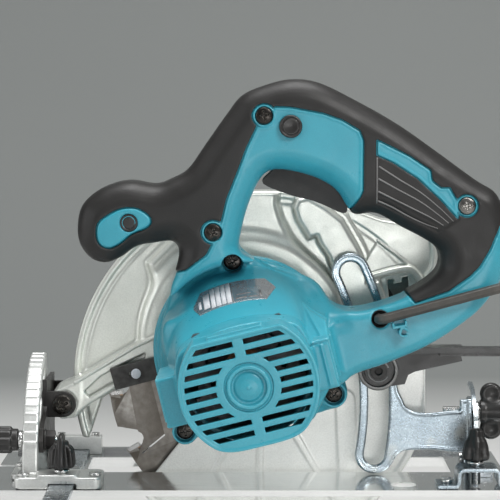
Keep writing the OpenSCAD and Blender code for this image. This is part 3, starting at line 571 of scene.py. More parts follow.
def bridge(bm, rows, closed=True):
    """Faces between rows of vertices; a row of one vertex is a pole."""
    for a, b in zip(rows, rows[1:]):
        count = max(len(a), len(b))
        for i in range(count if closed else count - 1):
            j = (i + 1) % count
            corners = (a[i % len(a)], a[j % len(a)], b[j % len(b)], b[i % len(b)])
            bm.faces.new(tuple(dict.fromkeys(corners)))


def lathe(bm, profile, centre, axis, segments):
    """(radius, height) profile turned about an axis through centre."""
    rings = []
    for radius, height in profile:
        ring = []
        for i in range(segments if radius > 1e-6 else 1):
            angle = 2 * math.pi * i / segments
            u, v = radius * math.cos(angle), radius * math.sin(angle)
            offset = {"x": (height, u, v), "y": (u, height, v), "z": (u, v, height)}[axis]
            ring.append(add_vert(bm, [c + o for c, o in zip(centre, offset)]))
        rings.append(ring)
    bridge(bm, rings)


def tube(bm, points, radius_at, sides):
    """Round bar through the points; radius_at takes 0 to 1 along it."""
    points = [Vector(point) for point in points]
    last = len(points) - 1
    side = None
    rings = []
    for i, point in enumerate(points):
        along = (points[min(i + 1, last)] - points[max(i - 1, 0)]).normalized()
        if side is None:
            up = Vector((0, 1, 0)) if abs(along.y) < 0.9 else Vector((1, 0, 0))
            side = along.cross(up).normalized()
        else:
            side = (side - along * side.dot(along)).normalized()
        other = along.cross(side)
        radius = radius_at(i / last)
        angles = [2 * math.pi * k / sides for k in range(sides)]
        rings.append([add_vert(bm, point + side * radius * math.cos(angle)
                               + other * radius * math.sin(angle)) for angle in angles])
    bridge(bm, rings)
    bm.faces.new(rings[0])
    bm.faces.new(rings[-1])


# ---------------------------------------------------------------- handle and motor housing
# outlines, (x, z)
HANDLE_OUTER = [
    (-50, 132), (-48, 141), (-49, 146), (-53, 149), (-63, 148), (-73, 146), (-82, 140),
    (-90, 137), (-98, 139), (-104, 146), (-106, 155), (-104, 167), (-97, 175), (-87, 180),
    (-76, 182), (-62, 180), (-53, 183), (-43, 189), (-33, 203), (-21, 220), (-12, 231),
    (2, 237), (16, 240), (31, 238), (50, 229), (75, 215), (98, 199), (120, 183), (131, 176),
    (136, 166), (141, 150), (139, 132), (127, 113), (112, 100), (93, 88), (70, 78), (50, 70),
    (46, 55), (30, 44), (-10, 46), (-40, 60), (-58, 90), (-54, 120)]
HANDLE_INNER = [
    (3, 188), (-7, 173), (-13, 152), (-13, 143), (-6, 139), (10, 134), (30, 124), (40, 112),
    (52, 109), (70, 113), (88, 121), (100, 131), (101, 142), (94, 149), (79, 157), (64, 165),
    (50, 165), (40, 178), (24, 186)]
KNOB_BADGE = [
    (-95, 152), (-94, 159), (-88, 164), (-80, 167.5), (-71, 167), (-64.5, 162), (-66, 157),
    (-75, 153), (-82, 147.5), (-88, 145), (-93, 147)]
# the soft grip lies within this outline, the hard shell outside it
SOFT_GRIP = [
    (-44.5, 132), (-120, 120), (-125, 200), (-20, 260), (60, 250), (150, 195), (150, 168),
    (139, 164), (134, 157), (128.5, 144), (122.5, 134), (117, 128.5), (105, 120), (86, 113.5),
    (81, 119.5), (81, 130), (76, 140), (70, 150), (60, 158), (51, 163), (48.6, 166),
    (52, 170.5), (54.5, 174), (56, 177.5), (56.2, 206), (54, 211.5), (44, 217.5), (33, 221.3),
    (15, 224.6), (6, 225), (4.5, 221), (4, 215), (0, 213.6), (-4, 214), (-10, 201.5),
    (-15, 188), (-21, 173), (-24, 160.5), (-26, 153), (-29, 148), (-32.5, 141), (-38, 136.8)]
PALM_INLAY = [
    (64, 206), (82, 197), (94, 189), (95, 183), (100, 179), (105, 179), (109, 172), (110, 162),
    (100, 173), (87, 185), (73, 194), (64, 198)]
PALM = [(63.5, 198.5), (63.5, 171), (99, 153.5), (111, 161.5), (99.5, 173.5), (87, 185.5),
        (73.5, 194.8)]
TRIGGER_SLOT = [(-3, 180), (1.5, 188.5), (8, 194), (24, 193), (39, 187), (50, 177), (51, 166),
                (46, 160), (30, 166), (13, 170)]
# (radius, y)
BARREL_PROFILE = [
    (0, -45.2), (54.6, -45.2), (54.6, -50.4), (54.0, -51.2), (53.0, -51.4), (52.8, -55.4),
    (52.0, -56.4), (50.6, -56.6), (50.3, -60.4), (49.4, -61.2), (48.6, -66.0), (39.4, -119.0),
    (38.9, -121.0), (38.2, -121.6), (38.2, -151.9), (0, -151.9)]
# corners of the gusset on the rear brush box, (across, up, y)
GUSSET = [(38.3, 24.2, -89.0), (42.3, 19.9, -95.0), (48.3, 15.2, -106.0), (47.4, 8.9, -130.0),
          (43.6, 9.7, -133.0)]


def crown_height(y):
    """Height of the flattened crown over the cap centre."""
    return 28.8 + np.clip(y + 118.0, -0.5, 200.0) * 0.431


def above_crown(across, up, y):
    return up + across ** 2 / 165.0 - crown_height(y)


def handle_field(grid):
    """Solid handle: its silhouette across the full width, with soft edges."""
    x, y, z = grid.x, grid.y, grid.z
    middle_y, half_width = -72.0, 20.0
    outline = cut(grid.xz(curve(HANDLE_OUTER, 5)), grid.xz(curve(HANDLE_INNER, 5)))
    # large edge radius on knob and grip, smaller on the lower arm
    radius = 6.0 + 7.0 * np.clip((z - (118 - 0.10 * x)) / 26, 0, 1)
    radius = radius - 3.0 * np.clip((x - 100) / 30, 0, 1) * np.clip((z - 140) / 20, 0, 1)
    rim = outline + radius
    side = np.abs(y - middle_y) - half_width + radius * 0.85
    outside = length(np.maximum(rim, 0), np.maximum(side * 1.12, 0))
    return np.minimum(np.maximum(rim, side), 0) + outside - radius


def add_brush_boxes(field, y, across, up):
    # columns: side, inner and outer distance across
    for side, inner, outer in ((1, 30, 47.6), (-1, 30, 50.3)):
        out = across * side
        box = rounded(np.abs(out - (inner + outer) / 2) - (outer - inner) / 2,
                      np.abs(y + 120.5) - 25.3, np.abs(up + 4.65) - 13.95, edge=1.6)
        field = fuse(field, box, 2.2)
        # step round the brush window
        step = overlap(np.abs(out - (outer + 0.2)) - 0.9, np.abs(y + 134) - 12.2,
                       np.abs(up + 4.65) - 12.2)
        field = cut(field, step, 0.5)
    return field


def add_gusset(field, y, across, up):
    """Triangular gusset on the rear box, its edges drawn by raised lines."""
    corners = [corner[:2] for corner in GUSSET] + [(33.0, 9.0), (33.0, 22.0)]
    slope_y = -90.0 - np.clip(24.2 - up, 0, 30) * 3.0
    body = overlap(polygon(corners, across, up), (slope_y - y) * 0.3, y + 56)
    field = fuse(field, body, 1.2)
    for start, end in ((0, 4), (0, 1), (1, 2), (2, 3)):
        line = segment((across, up, y), GUSSET[start], GUSSET[end]) - 1.0
        field = fuse(field, line, 0.7)
    return field


def add_screw_lugs(field, grid):
    for place in HOUSING_SCREWS:
        reach = math.hypot(place[0] - MOTOR[0], place[1] - MOTOR[1])
        out = ((place[0] - MOTOR[0]) / reach, (place[1] - MOTOR[1]) / reach)
        dx, dz = grid.x - place[0], grid.z - place[1]
        along = dx * out[0] + dz * out[1]
        side = np.abs(dx * -out[1] + dz * out[0])
        spine = np.clip(along, -20, 0)
        lug = length(along - spine, side) - (7.6 - spine * 0.16)
        field = fuse(field, grid.slab(lug, -64.0, -45.4, 1.6), 2.4)
    return field


def motor_field(grid):
    across, up = grid.tilted(CAP)
    y = grid.y
    d = grid.turned(BARREL_PROFILE, BARREL)
    # the barrel narrows to two flats in line with the cap's, and has a flattened crown
    d = trim(d, (-up - 34.6) - np.clip((y + 123) / 3, 0, 1) * 30, 0.8)
    d = trim(d, above_crown(across, up, y) * 0.93, 3.0)
    d = trim(d, (up - 28.9) - np.clip((y + 119.5) / 2, 0, 1) * 40, 0.6)
    d = add_brush_boxes(d, y, across, up)
    d = add_gusset(d, y, across, up)
    # two ridges along the rear side; columns: inner and outer distance across, near end
    for inner, outer, near_y in ((41.9, 43.1, -146.4), (47.4, 49.4, -118.0)):
        ridge = overlap(between(across, inner, outer), between(up, -17, 7.6),
                        between(y, near_y, -50))
        d = fuse(d, ridge, 0.7)
    groove = overlap(np.abs(up - 7.4) - 0.5, between(across, 33.5, 46.5), y + 144.9)
    d = cut(d, groove, 0.4)
    return add_screw_lugs(d, grid)


def clear_handle(handle, grid):
    """Stop the handle short of the motor cone and of the lower rear lug."""
    y = grid.y
    across, up = grid.tilted(CAP)
    cone = (-10.8, 83.0)
    keepout = trim(overlap(grid.circle(cone, 52.6), y + 61.0), 34.0 - up, 8.0)
    handle = cut(handle, keepout, 4.5)
    ramp_y = -95.0 + np.clip((up - 9.0) * 1.15, 0, 42)
    side = trim(grid.circle(cone, 60.0), 22.0 - across, 4.0)
    side = trim(side, 6.0 - up, 4.0)
    handle = cut(handle, trim(side, (y - ramp_y) * 0.62, 5.0), 5.0)
    lug = grid.xz([(16, 20), (62, 20), (62, 71.5), (52, 68.8), (46, 66.5), (38, 64)])
    return cut(handle, overlap(lug, y + 61.0), 4.0)


def soft_region(grid):
    """Where the soft grip covers the shell: clear of the screws, the badge and the inlay."""
    islands = [grid.circle(place, radius)
               for place, radius in zip(HANDLE_SCREWS, (6.6, 6.6, 6.2))]
    islands += [grid.xz(curve(KNOB_BADGE, 5)), grid.xz(PALM_INLAY) - 0.2]
    return cut(grid.xz(SOFT_GRIP), join(*islands))


def cut_housing(d, grid):
    """Motor bore, screw and button holes, trigger slot, and room over the sole."""
    x, y, z = grid.x, grid.y, grid.z
    across, up = grid.tilted(CAP)
    flats = overlap(-up - 32.2, above_crown(across, up, y) + 2.5)
    d = cut(d, overlap(grid.circle(MOTOR, 34.2), flats, between(y, -153, -72)))
    d = cut(d, overlap(grid.circle(MOTOR, 38.5), between(y, -72.2, -52)))
    d = cut(d, overlap(grid.circle(MOTOR, 30), between(y, -54, -44)))
    for place in HOUSING_SCREWS:
        d = cut(d, overlap(grid.circle(place, 6.1), y + 58.0), 0.8)
    for place in HANDLE_SCREWS:
        d = cut(d, overlap(grid.circle(place, 5.05), np.abs(y + 92) - 2.6), 0.5)
    d = cut(d, overlap(grid.circle(LOCK_BUTTON, 5.7), np.abs(y + 92) - 6), 0.7)
    d = cut(d, grid.slab(grid.xz(curve(TRIGGER_SLOT, 4)), -80.2, -63.8, 0.8), 0.8)
    # room above it for the squeezed trigger
    squeezed = grid.xz([(1, 184), (3, 190.5), (10, 199), (36, 196), (51, 184.5), (49, 172),
                        (44, 174), (8, 186)])
    d = cut(d, overlap(squeezed, between(y, -80.3, -63.7)))
    key_hole = overlap(grid.circle((66.2, 104.4), 5.0), y + 82)
    d = cut(d, key_hole, 0.8)
    # clear of the sole with the body swung fully down
    lowered = (PIVOT[1] - (x - PIVOT[0]) * math.sin(SWING)
               + (z - PIVOT[1]) * math.cos(SWING))
    return overlap(d, 7.2 - lowered)


def build_housing():
    grid = Grid((-112, -155, 26), (146, -42, 243), 0.85)
    handle = clear_handle(handle_field(grid), grid)
    soft = soft_region(grid)
    # the shell is full height outside the grip, sunk below it, with a lip along the line
    shell = join(overlap(handle + 0.55, -soft + 0.25), handle + 1.5)
    lip = overlap(handle + 0.15, np.abs(soft - 1.05) - 0.55)
    shell = fuse(shell, lip, 0.5)
    shell = cut_housing(fuse(shell, motor_field(grid), 5.0), grid)
    field_mesh("housing_shell", grid, shell, "teal_plastic", "motor_housing", "handle_cover")

    border = np.clip((soft + 1.4) / 1.4, 0, 1)
    grip = overlap(soft + 0.35, handle - 0.62 + 0.55 * border ** 2)
    grip = cut(grip, handle + 1.2)
    # palm area slightly sunk on both sides
    grip = cut(grip, overlap(grid.xz(PALM), -(handle + 0.15), handle - 2))
    for place in HOUSING_SCREWS:
        grip = cut(grip, overlap(grid.circle(place, 8.5), grid.y + 58.0))
    grip = cut(grip, grid.circle(BARREL, 57.5))
    grip = cut(grip, grid.circle(LOCK_BUTTON, 7.0))
    grip = cut(grip, grid.slab(grid.xz(curve(TRIGGER_SLOT, 4)), -80.4, -63.6, 0.8))
    field_mesh("grip_overmould", grid, grip, "grip_rubber",
               "grip_rubber_near", "grip_rubber_far")


# (radius, y): groove, lip, dish and dome in the middle of the cap
HUB_PROFILE = [
    (0, -182), (0, -186.1), (0.7, -186.05), (1.2, -185.5), (4.5, -185.1), (7.0, -184.3),
    (8.0, -183.5), (9.3, -183.5), (9.8, -185.9), (11.4, -185.9), (12.0, -184.2),
    (12.9, -184.2), (13.4, -182)]
CAP_SLOTS, SLOT_PITCH = 9, 6.05


def build_cap():
    """Hollow end cap with slots in two columns."""
    grid = Grid((-50, -188, 38), (32, -151.2, 121), 0.46)
    y = grid.y
    across, up = grid.tilted(CAP_HUB)
    rho = grid.circle(CAP_HUB, 0)
    outline = trim(trim(rho - 37.6, up - 28.8, 0.8), -up - 32.4, 5.0)
    d = grid.slab(outline, -185, -152.0, 1.5, 0.3)
    top_lip = overlap(between(up, 20, 30.6), np.abs(across + 0.5) - 16.0 + (up - 26) * 0.3,
                      between(y, -182.6, -170), rho - 37.4)
    d = fuse(d, top_lip, 0.7)
    rim = overlap(np.abs(outline + 0.9) - 0.75, between(y, -185.35, -180))
    d = fuse(d, rim, 0.5)
    d = cut(d, overlap(np.abs(y + 157.4) - 0.5, -(outline + 0.7)), 0.3)
    d = cut(d, overlap(rho - 13.2, y + 182.6))
    d = join(d, overlap(grid.turned(HUB_PROFILE, CAP_HUB), rho - 13.5))
    hollow = overlap(rho - 34.6, up - 26.6, -up - 30.4, between(y, -181.2, -151))
    post = overlap(rho - 13.2, y + 164)
    d = cut(d, cut(hollow, post))
    for k in range(CAP_SLOTS):
        height = (k - CAP_SLOTS // 2) * SLOT_PITCH
        slot = overlap(np.abs(up - height) - 1.42, between(rho, 17.3, 34.0),
                       2.9 - np.abs(across), between(y, -190, -176))
        d = cut(d, slot, 0.35)
    field_mesh("end_cap", grid, d, "teal_plastic", "motor_cap", finish="teal_cap")


# ---------------------------------------------------------------- screws
# name, (x, z), y of the head, radius, turn of the cross in radians, finish, replaced node
SCREWS = [
    ("handle_screw_top", HANDLE_SCREWS[0], -91.9, 4.75, 0.25, "black_screw", "handle_screws"),
    ("handle_screw_front", HANDLE_SCREWS[1], -91.9, 4.75, 1.1, "black_screw"),
    ("handle_screw_rear", HANDLE_SCREWS[2], -91.9, 4.75, 0.15, "gunmetal_screw"),
    ("housing_screw_top", HOUSING_SCREWS[2], -58.3, 5.3, 0.5, "black_screw",
     "housing_screws"),
    ("housing_screw_rear", HOUSING_SCREWS[1], -58.3, 5.1, 0.9, "black_screw"),
    ("housing_screw_front", HOUSING_SCREWS[0], -58.3, 5.1, 0.1, "black_screw")]


def build_screw(name, place, head_y, r, turn, finish, *replaces, body="saw_body", dome=0.9):
    """Domed head facing -y with a tapering cross recess, modelled at the origin."""
    grid = Grid((-r - 1, -2.4 - dome, -r - 1), (r + 1, 1.8, r + 1), r / 22)
    x, y, z = grid.x, grid.y, grid.z
    rho = length(x, z)
    dome_radius = (r * r + dome * dome) / (2 * dome)
    ball = length(rho, y - (dome_radius - dome - 1.2)) - dome_radius
    d = trim(trim(ball, rho - r, r * 0.12), y - 1.2, 0.15)
    cos, sin = math.cos(turn), math.sin(turn)
    a = x * cos + z * sin
    b = -x * sin + z * cos
    depth = y + 1.2 + dome
    taper = np.clip(depth / (r * 0.75), 0, 1)
    for along, side in ((a, b), (b, a)):
        arm = overlap(np.abs(along) - r * 0.62 * (1 - 0.55 * taper),
                      np.abs(side) - r * 0.13 * (1 - 0.3 * taper),
                      depth - min(r * 0.55, 1.2))
        d = cut(d, arm, r * 0.05)
    centre = overlap(np.abs(a) + np.abs(b) - r * 0.27 * (1 - 0.4 * taper),
                     depth - min(r * 0.6, 1.4))
    d = cut(d, centre, r * 0.05)
    ob = field_mesh(name, grid, d, "black_steel", finish=finish, body=body)
    mesh = ob.data
    points = np.zeros(len(mesh.vertices) * 3, np.float32)
    mesh.vertices.foreach_get("co", points)
    offset = np.array((place[0], head_y, place[1]), np.float32) * MM
    mesh.vertices.foreach_set("co", (points.reshape(-1, 3) + offset).ravel())
    mesh.update()
    if replaces:
        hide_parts(*replaces)


# ---------------------------------------------------------------- knob badge and palm ribs
def build_badge():
    grid = Grid((-99, -94.5, 141), (-60, -88.5, 172), 0.34)
    badge = grid.slab(grid.xz(curve(KNOB_BADGE, 6)) + 0.35, -93.4, -89, 1.1, 0.2)
    badge = cut(badge, overlap(grid.circle(KNOB_PLUG, 5.3), grid.y + 91.2), 0.8)
    field_mesh("knob_badge", grid, badge, "teal_plastic", "knob_inset")
    grid = Grid((-83, -93.0, 153), (-70, -89, 166), 0.3)
    plug = grid.slab(grid.circle(KNOB_PLUG, 5.15), -92.3, -90, 0.5)
    groove = overlap(np.abs(grid.circle(KNOB_PLUG, 3.6)) - 0.25, grid.y + 92.0)
    plug = cut(plug, groove, 0.2)
    field_mesh("knob_plug", grid, plug, "black_plastic")


# centre lines, (x, z)
RIBS = [
    [(64.9, 191.4), (76.4, 184.0), (88.7, 176.5), (99.1, 168.1), (107.4, 160.2)],
    [(64.6, 184.5), (75.5, 178.4), (87.8, 171.8), (97.2, 165.2), (104.6, 159.2)],
    [(64.6, 177.2), (74.6, 172.3), (85.9, 166.7), (94.4, 162.4), (101.6, 158.0)],
    [(64.6, 171.8), (72.8, 168.1), (82.2, 162.9), (91.6, 158.6), (98.6, 156.2)]]


def build_palm():
    """Ribs on both sides of the palm and a line down its front edge."""
    grid = Grid((55, -96, 145), (122, -48, 214), 1.0)
    handle = handle_field(grid)

    def on_skin(x, z, side, lift):
        ys = np.linspace(-72, -96 if side < 0 else -48, 240, dtype=np.float32)
        points = np.stack([np.full_like(ys, x), ys, np.full_like(ys, z)], 1)
        first_outside = np.argmax(sample(handle, grid, points) > 0)
        return (x, float(ys[first_outside]) + side * lift, z)

    bm = bmesh.new()
    for side in (-1, 1):
        for rib in RIBS:
            line = [on_skin(x, z, side, 0.10) for x, z in curve(rib, 8, closed=False)]
            tube(bm, line, lambda t: 0.52 - 0.28 * t, sides=8)
        line = [on_skin(63.9, z, side, 0.12) for z in np.linspace(170.5, 196.5, 16)]
        tube(bm, line, lambda t: 0.42, sides=8)
    mesh_piece("palm_ribs", bm, "grip_rubber", finish="grip_rib")


# ---------------------------------------------------------------- rating plate
# printed areas: left, right (mm across), top, bottom (0 to 1 down the plate)
PALE_BLOCKS = [
    (-16.6, -13.0, 0.20, 0.86), (-12.2, -9.6, 0.06, 0.94), (-9.2, -6.4, 0.05, 0.94),
    (-6.0, -3.4, 0.04, 0.94), (-3.0, -0.2, 0.03, 0.95), (-19.6, -18.0, 0.42, 0.76)]
DARK_BANDS = [
    (0.2, 0.7, 0.04, 0.96), (2.0, 8.5, 0.80, 0.86), (9.5, 14.5, 0.80, 0.86),
    (3.0, 11.0, 0.64, 0.67), (15.5, 17.0, 0.55, 0.86)]


def on_crown(across, down, lift):
    """Point over the sloping crown; down runs from 0 at the plate's top to 1 at its foot."""
    y = -80.0 - 22.5 * down
    up = crown_height(y) - across * across / 165.0 + lift
    cos, sin = math.cos(TILT), math.sin(TILT)
    return (CAP[0] + across * cos - up * sin, y - lift * 0.40, CAP[1] + across * sin + up * cos)


def plate_ends(down):
    """Left and right ends of the plate, each with a corner part way down."""
    left = -17.5 - 5.7 * (down / 0.55) if down < 0.55 else -23.2 + 3.6 * (down - 0.55) / 0.45
    right = 20.6 + 5.0 * (down / 0.4) if down < 0.4 else 25.6 - 6.4 * (down - 0.4) / 0.6
    return left, right


def build_rating_plate():
    columns, last_row = 40, 12
    bm = bmesh.new()
    places = []
    for j in range(last_row + 1):
        down = j / last_row
        left, right = plate_ends(down)
        places.append([(left + (right - left) * i / columns, down) for i in range(columns + 1)])
    top, bottom = [[[add_vert(bm, on_crown(across, down, lift)) for across, down in row]
                    for row in places] for lift in (0.42, -0.5)]
    for j in range(last_row):
        for i in range(columns):
            bm.faces.new((top[j][i], top[j][i + 1], top[j + 1][i + 1], top[j + 1][i]))
            bm.faces.new((bottom[j][i], bottom[j + 1][i], bottom[j + 1][i + 1],
                          bottom[j][i + 1]))
    rim = [(0, i) for i in range(columns)]
    rim += [(j, columns) for j in range(last_row)]
    rim += [(last_row, i) for i in range(columns, 0, -1)]
    rim += [(j, 0) for j in range(last_row, 0, -1)]
    for (j, i), (next_j, next_i) in zip(rim, rim[1:] + rim[:1]):
        bm.faces.new((top[j][i], bottom[j][i], bottom[next_j][next_i], top[next_j][next_i]))
    mesh_piece("rating_plate", bm, "plate", "nameplate", bevel=0.15, segments=1)


def build_print(name, finish, blocks):
    """Thin blocks following the plate."""
    bm = bmesh.new()
    for left, right, start, end in blocks:
        steps = max(2, int(abs(right - left) * 1.2))
        a, b, c, d = [[add_vert(bm, on_crown(left + (right - left) * i / steps, down, lift))
                       for i in range(steps + 1)]
                      for lift in (0.50, 0.34) for down in (start, end)]
        for i in range(steps):
            j = i + 1
            bm.faces.new((a[i], a[j], b[j], b[i]))
            bm.faces.new((c[i], d[i], d[j], c[j]))
            bm.faces.new((a[i], c[i], c[j], a[j]))
            bm.faces.new((b[i], b[j], d[j], d[i]))
        bm.faces.new((a[0], b[0], d[0], c[0]))
        bm.faces.new((a[-1], c[-1], d[-1], b[-1]))
    mesh_piece(name, bm, "plate", finish=finish)


# ---------------------------------------------------------------- blade case
def add_chute(d, grid):
    """Raised duct with a stepped shoulder down its rear side."""
    duct = grid.xz([
        (20.3, 169.3), (18.0, 163.9), (20.0, 156.4), (27.3, 144.4), (31.8, 146.1),
        (33.3, 141.9), (38.8, 133.9), (41.9, 124), (46, 112), (50, 100), (74, 98),
        (70.8, 107.9), (64.8, 123.9), (57.7, 139.9), (47.7, 156.9), (37.7, 164.9), (27, 171)])
    d = fuse(d, grid.slab(duct, -20.8, -9, 3.2, 0.5), 1.8)
    shoulder = grid.xz([
        (37.7, 164.9), (47.7, 156.9), (57.7, 139.9), (64.8, 123.9), (70.8, 107.9),
        (74.2, 108.5), (68.2, 125.2), (61.0, 141.6), (50.6, 159.4), (39.5, 168)])
    return fuse(d, grid.slab(shoulder, -15.8, -10, 1.3, 0.5), 1.2)


def add_rear_panel(d, grid):
    """Pressed circle, crease, hollow, ridges and window behind the chute."""
    y = grid.y
    ring = np.abs(grid.circle((71.7, 132.2), 3.3)) - 0.45
    d = fuse(d, grid.slab(ring, -13.1, -11, 0.3), 0.5)
    crease = grid.xz([(69.2, 143.8), (80.2, 136.0), (91.3, 126.6), (91.3, 125.2),
                      (80.0, 134.4), (69.0, 142.6)])
    d = fuse(d, grid.slab(crease, -13.3, -11, 0.5), 0.8)
    hollow = grid.xz([(69.0, 142.0), (79.6, 134.4), (90.0, 126.0), (76, 123.2), (66.5, 121),
                      (62, 131)])
    d = cut(d, overlap(hollow, y + 12.1), 1.2)
    ridge = grid.xz(curve([
        (62.0, 122.2), (66.2, 123.6), (76.3, 126.5), (86.3, 128.4), (91.8, 127.0),
        (97.2, 119.8), (94.0, 117.9), (90.6, 122.6), (86.3, 124.6), (76.3, 122.8),
        (66.2, 119.8)], 3))
    d = fuse(d, grid.slab(ridge, -15.4, -11, 1.4), 1.2)
    under_ridge = grid.xz(curve([
        (62.0, 120.0), (76.3, 123.2), (86.0, 125.0), (89.6, 123.4), (92.0, 120.2),
        (90.0, 118.8), (86.0, 121.0), (76.3, 119.6), (63.0, 117.0)], 3))
    d = cut(d, overlap(under_ridge + 0.6, y + 14.6), 0.8)
    upright = grid.xz(curve([
        (99.8, 147.5), (100.9, 142.8), (101.6, 134.3), (100.8, 127.4), (97.6, 122.2),
        (100.0, 120.6), (103.4, 126.0), (104.6, 134.3), (103.8, 144.0), (102.4, 148.2)], 3))
    d = fuse(d, grid.slab(upright, -15.0, -10, 1.2), 1.0)
    window = grid.xz([(75.0, 119.6), (78.8, 120.2), (78.8, 117.1), (83.8, 118.0),
                      (83.8, 121.0), (87.6, 121.6), (88.2, 110.6), (76.4, 108.4)])
    return cut(d, grid.slab(window, -22, -9, 0.1), 0.4)


def add_hinge(d, grid):
    """Arm to the pivot with a channel and a raised line along it, and the hinge barrel."""
    outline = grid.xz([
        (-119.7, 56), (-112, 60.5), (-99, 68.4), (-86, 76), (-76, 81.6), (-60, 89), (-50, 92),
        (-50, 70), (-58.4, 68), (-66, 64), (-78, 60), (-88, 56.5), (-94, 52.5), (-104, 46.5),
        (-112, 40), (-119.7, 38)])
    arm = grid.slab(outline, -32.4, -11, 1.6, 0.5)
    channel = grid.xz([(-108.0, 54.2), (-104.6, 50.2), (-94, 56.6), (-86, 60.6), (-70, 66.8),
                       (-70, 78.4), (-86, 70.6), (-98, 63.6)])
    arm = cut(arm, overlap(channel + 0.6, grid.y + 27.6), 1.0)
    line = grid.xz([(-114, 60.2), (-76, 82.6), (-60, 90.0), (-60, 88.2), (-76, 80.9),
                    (-113, 58.6)])
    arm = fuse(arm, grid.slab(line, -33.4, -30, 0.5), 0.7)
    d = fuse(d, arm, 2.0)
    d = fuse(d, grid.slab(grid.circle(PIVOT, 8.9), -32.3, 10.1, 0.8), 1.0)
    web = grid.xz([(-121, 38), (-112, 38.6), (-109, 50), (-109, 60), (-112, 60), (-121, 56)])
    return fuse(d, grid.slab(web, -32.3, 10.1, 0.8), 1.5)


def build_case():
    grid = Grid((-131, -34, 20), (110, 14.5, 177), 0.78)
    y = grid.y
    reach = grid.circle(ARBOR, 0)
    # region above the case's lower edge
    above = grid.xz([(-125, 26), (-106, 23), (-98, 47), (-78, 60), (-50, 68), (-30, 48),
                     (0, 57.3), (128, 89.3), (128, 190), (-125, 190)])
    rear_box = grid.xz(curve([(40, 160), (72, 156), (97, 151), (104.5, 146), (106, 136),
                              (104, 126), (99, 119), (60, 100), (20, 100)], 3))
    outline = fuse(overlap(reach - 115, above), rear_box, 1.5)
    d = grid.slab(outline, -12.6, 12.8, 1.6, 3.0)
    # raised rim along the edge of the near wall, soft step inside it
    rim = overlap(between(reach, 111.6, 115), above, grid.x - 30)
    d = fuse(d, grid.slab(rim, -13.0, -8, 0.7), 0.8)
    d = cut(d, overlap(np.abs(reach - 109.6) - 1.2, above + 1, y + 12.3), 1.4)
    # bulge round the gear train, with a rounded shoulder
    bulge = grid.slab(grid.circle((-11.3, 83.8), 64.0), -22.5, -9, 5.0, 0.5)
    cheek = grid.xz([
        (-24, 178), (9, 174), (8.6, 166.4), (11.5, 156.4), (18.5, 143.3), (25.6, 130.2),
        (33, 118), (42, 104), (20, 98), (-60, 98), (-70, 130), (-50, 150)])
    bulge = fuse(bulge, grid.slab(cheek, -19.5, -9, 4.0, 0.5), 6.0)
    d = fuse(d, overlap(bulge, outline + 1.2), 3.0)
    d = add_chute(d, grid)
    d = add_rear_panel(d, grid)
    d = add_hinge(d, grid)
    d = fuse(d, grid.slab(grid.circle(LEVER, 11.0), -26.8, -9, 1.2, 0.4), 2.0)
    # blade chamber, open below
    mouth = grid.xz([(-104, 24), (-96, 47), (-78, 60), (-50, 68), (-30, 48), (0, 50),
                     (126, 81), (126, 60), (0, 20), (-100, 5)])
    chamber = join(overlap(reach - 111.8, above - 4), rear_box + 3, mouth)
    d = cut(d, overlap(chamber, np.abs(y) - 10.2))
    # bores
    d = cut(d, overlap(grid.circle(ARBOR, 29.6), np.abs(y + 12) - 3.2))
    d = cut(d, overlap(grid.circle(ARBOR, 34), np.abs(y - 12) - 3), 0.8)
    d = cut(d, grid.circle(PIVOT, 4.2))
    d = cut(d, overlap(grid.circle(PIVOT, 8.3), 10.25 - y))
    d = cut(d, overlap(grid.circle(PIVOT, 8.3), y + 32.5))
    # clear of the gear casting
    gears = join(grid.circle(MOTOR, 47.3), grid.circle(ARBOR, 25))
    d = cut(d, overlap(gears, y + 13.0))
    field_mesh("blade_case_shell", grid, d, "magnesium", "blade_case")


# ---------------------------------------------------------------- lower guard
GUARD_FROM, GUARD_TO = math.radians(215), math.radians(377)


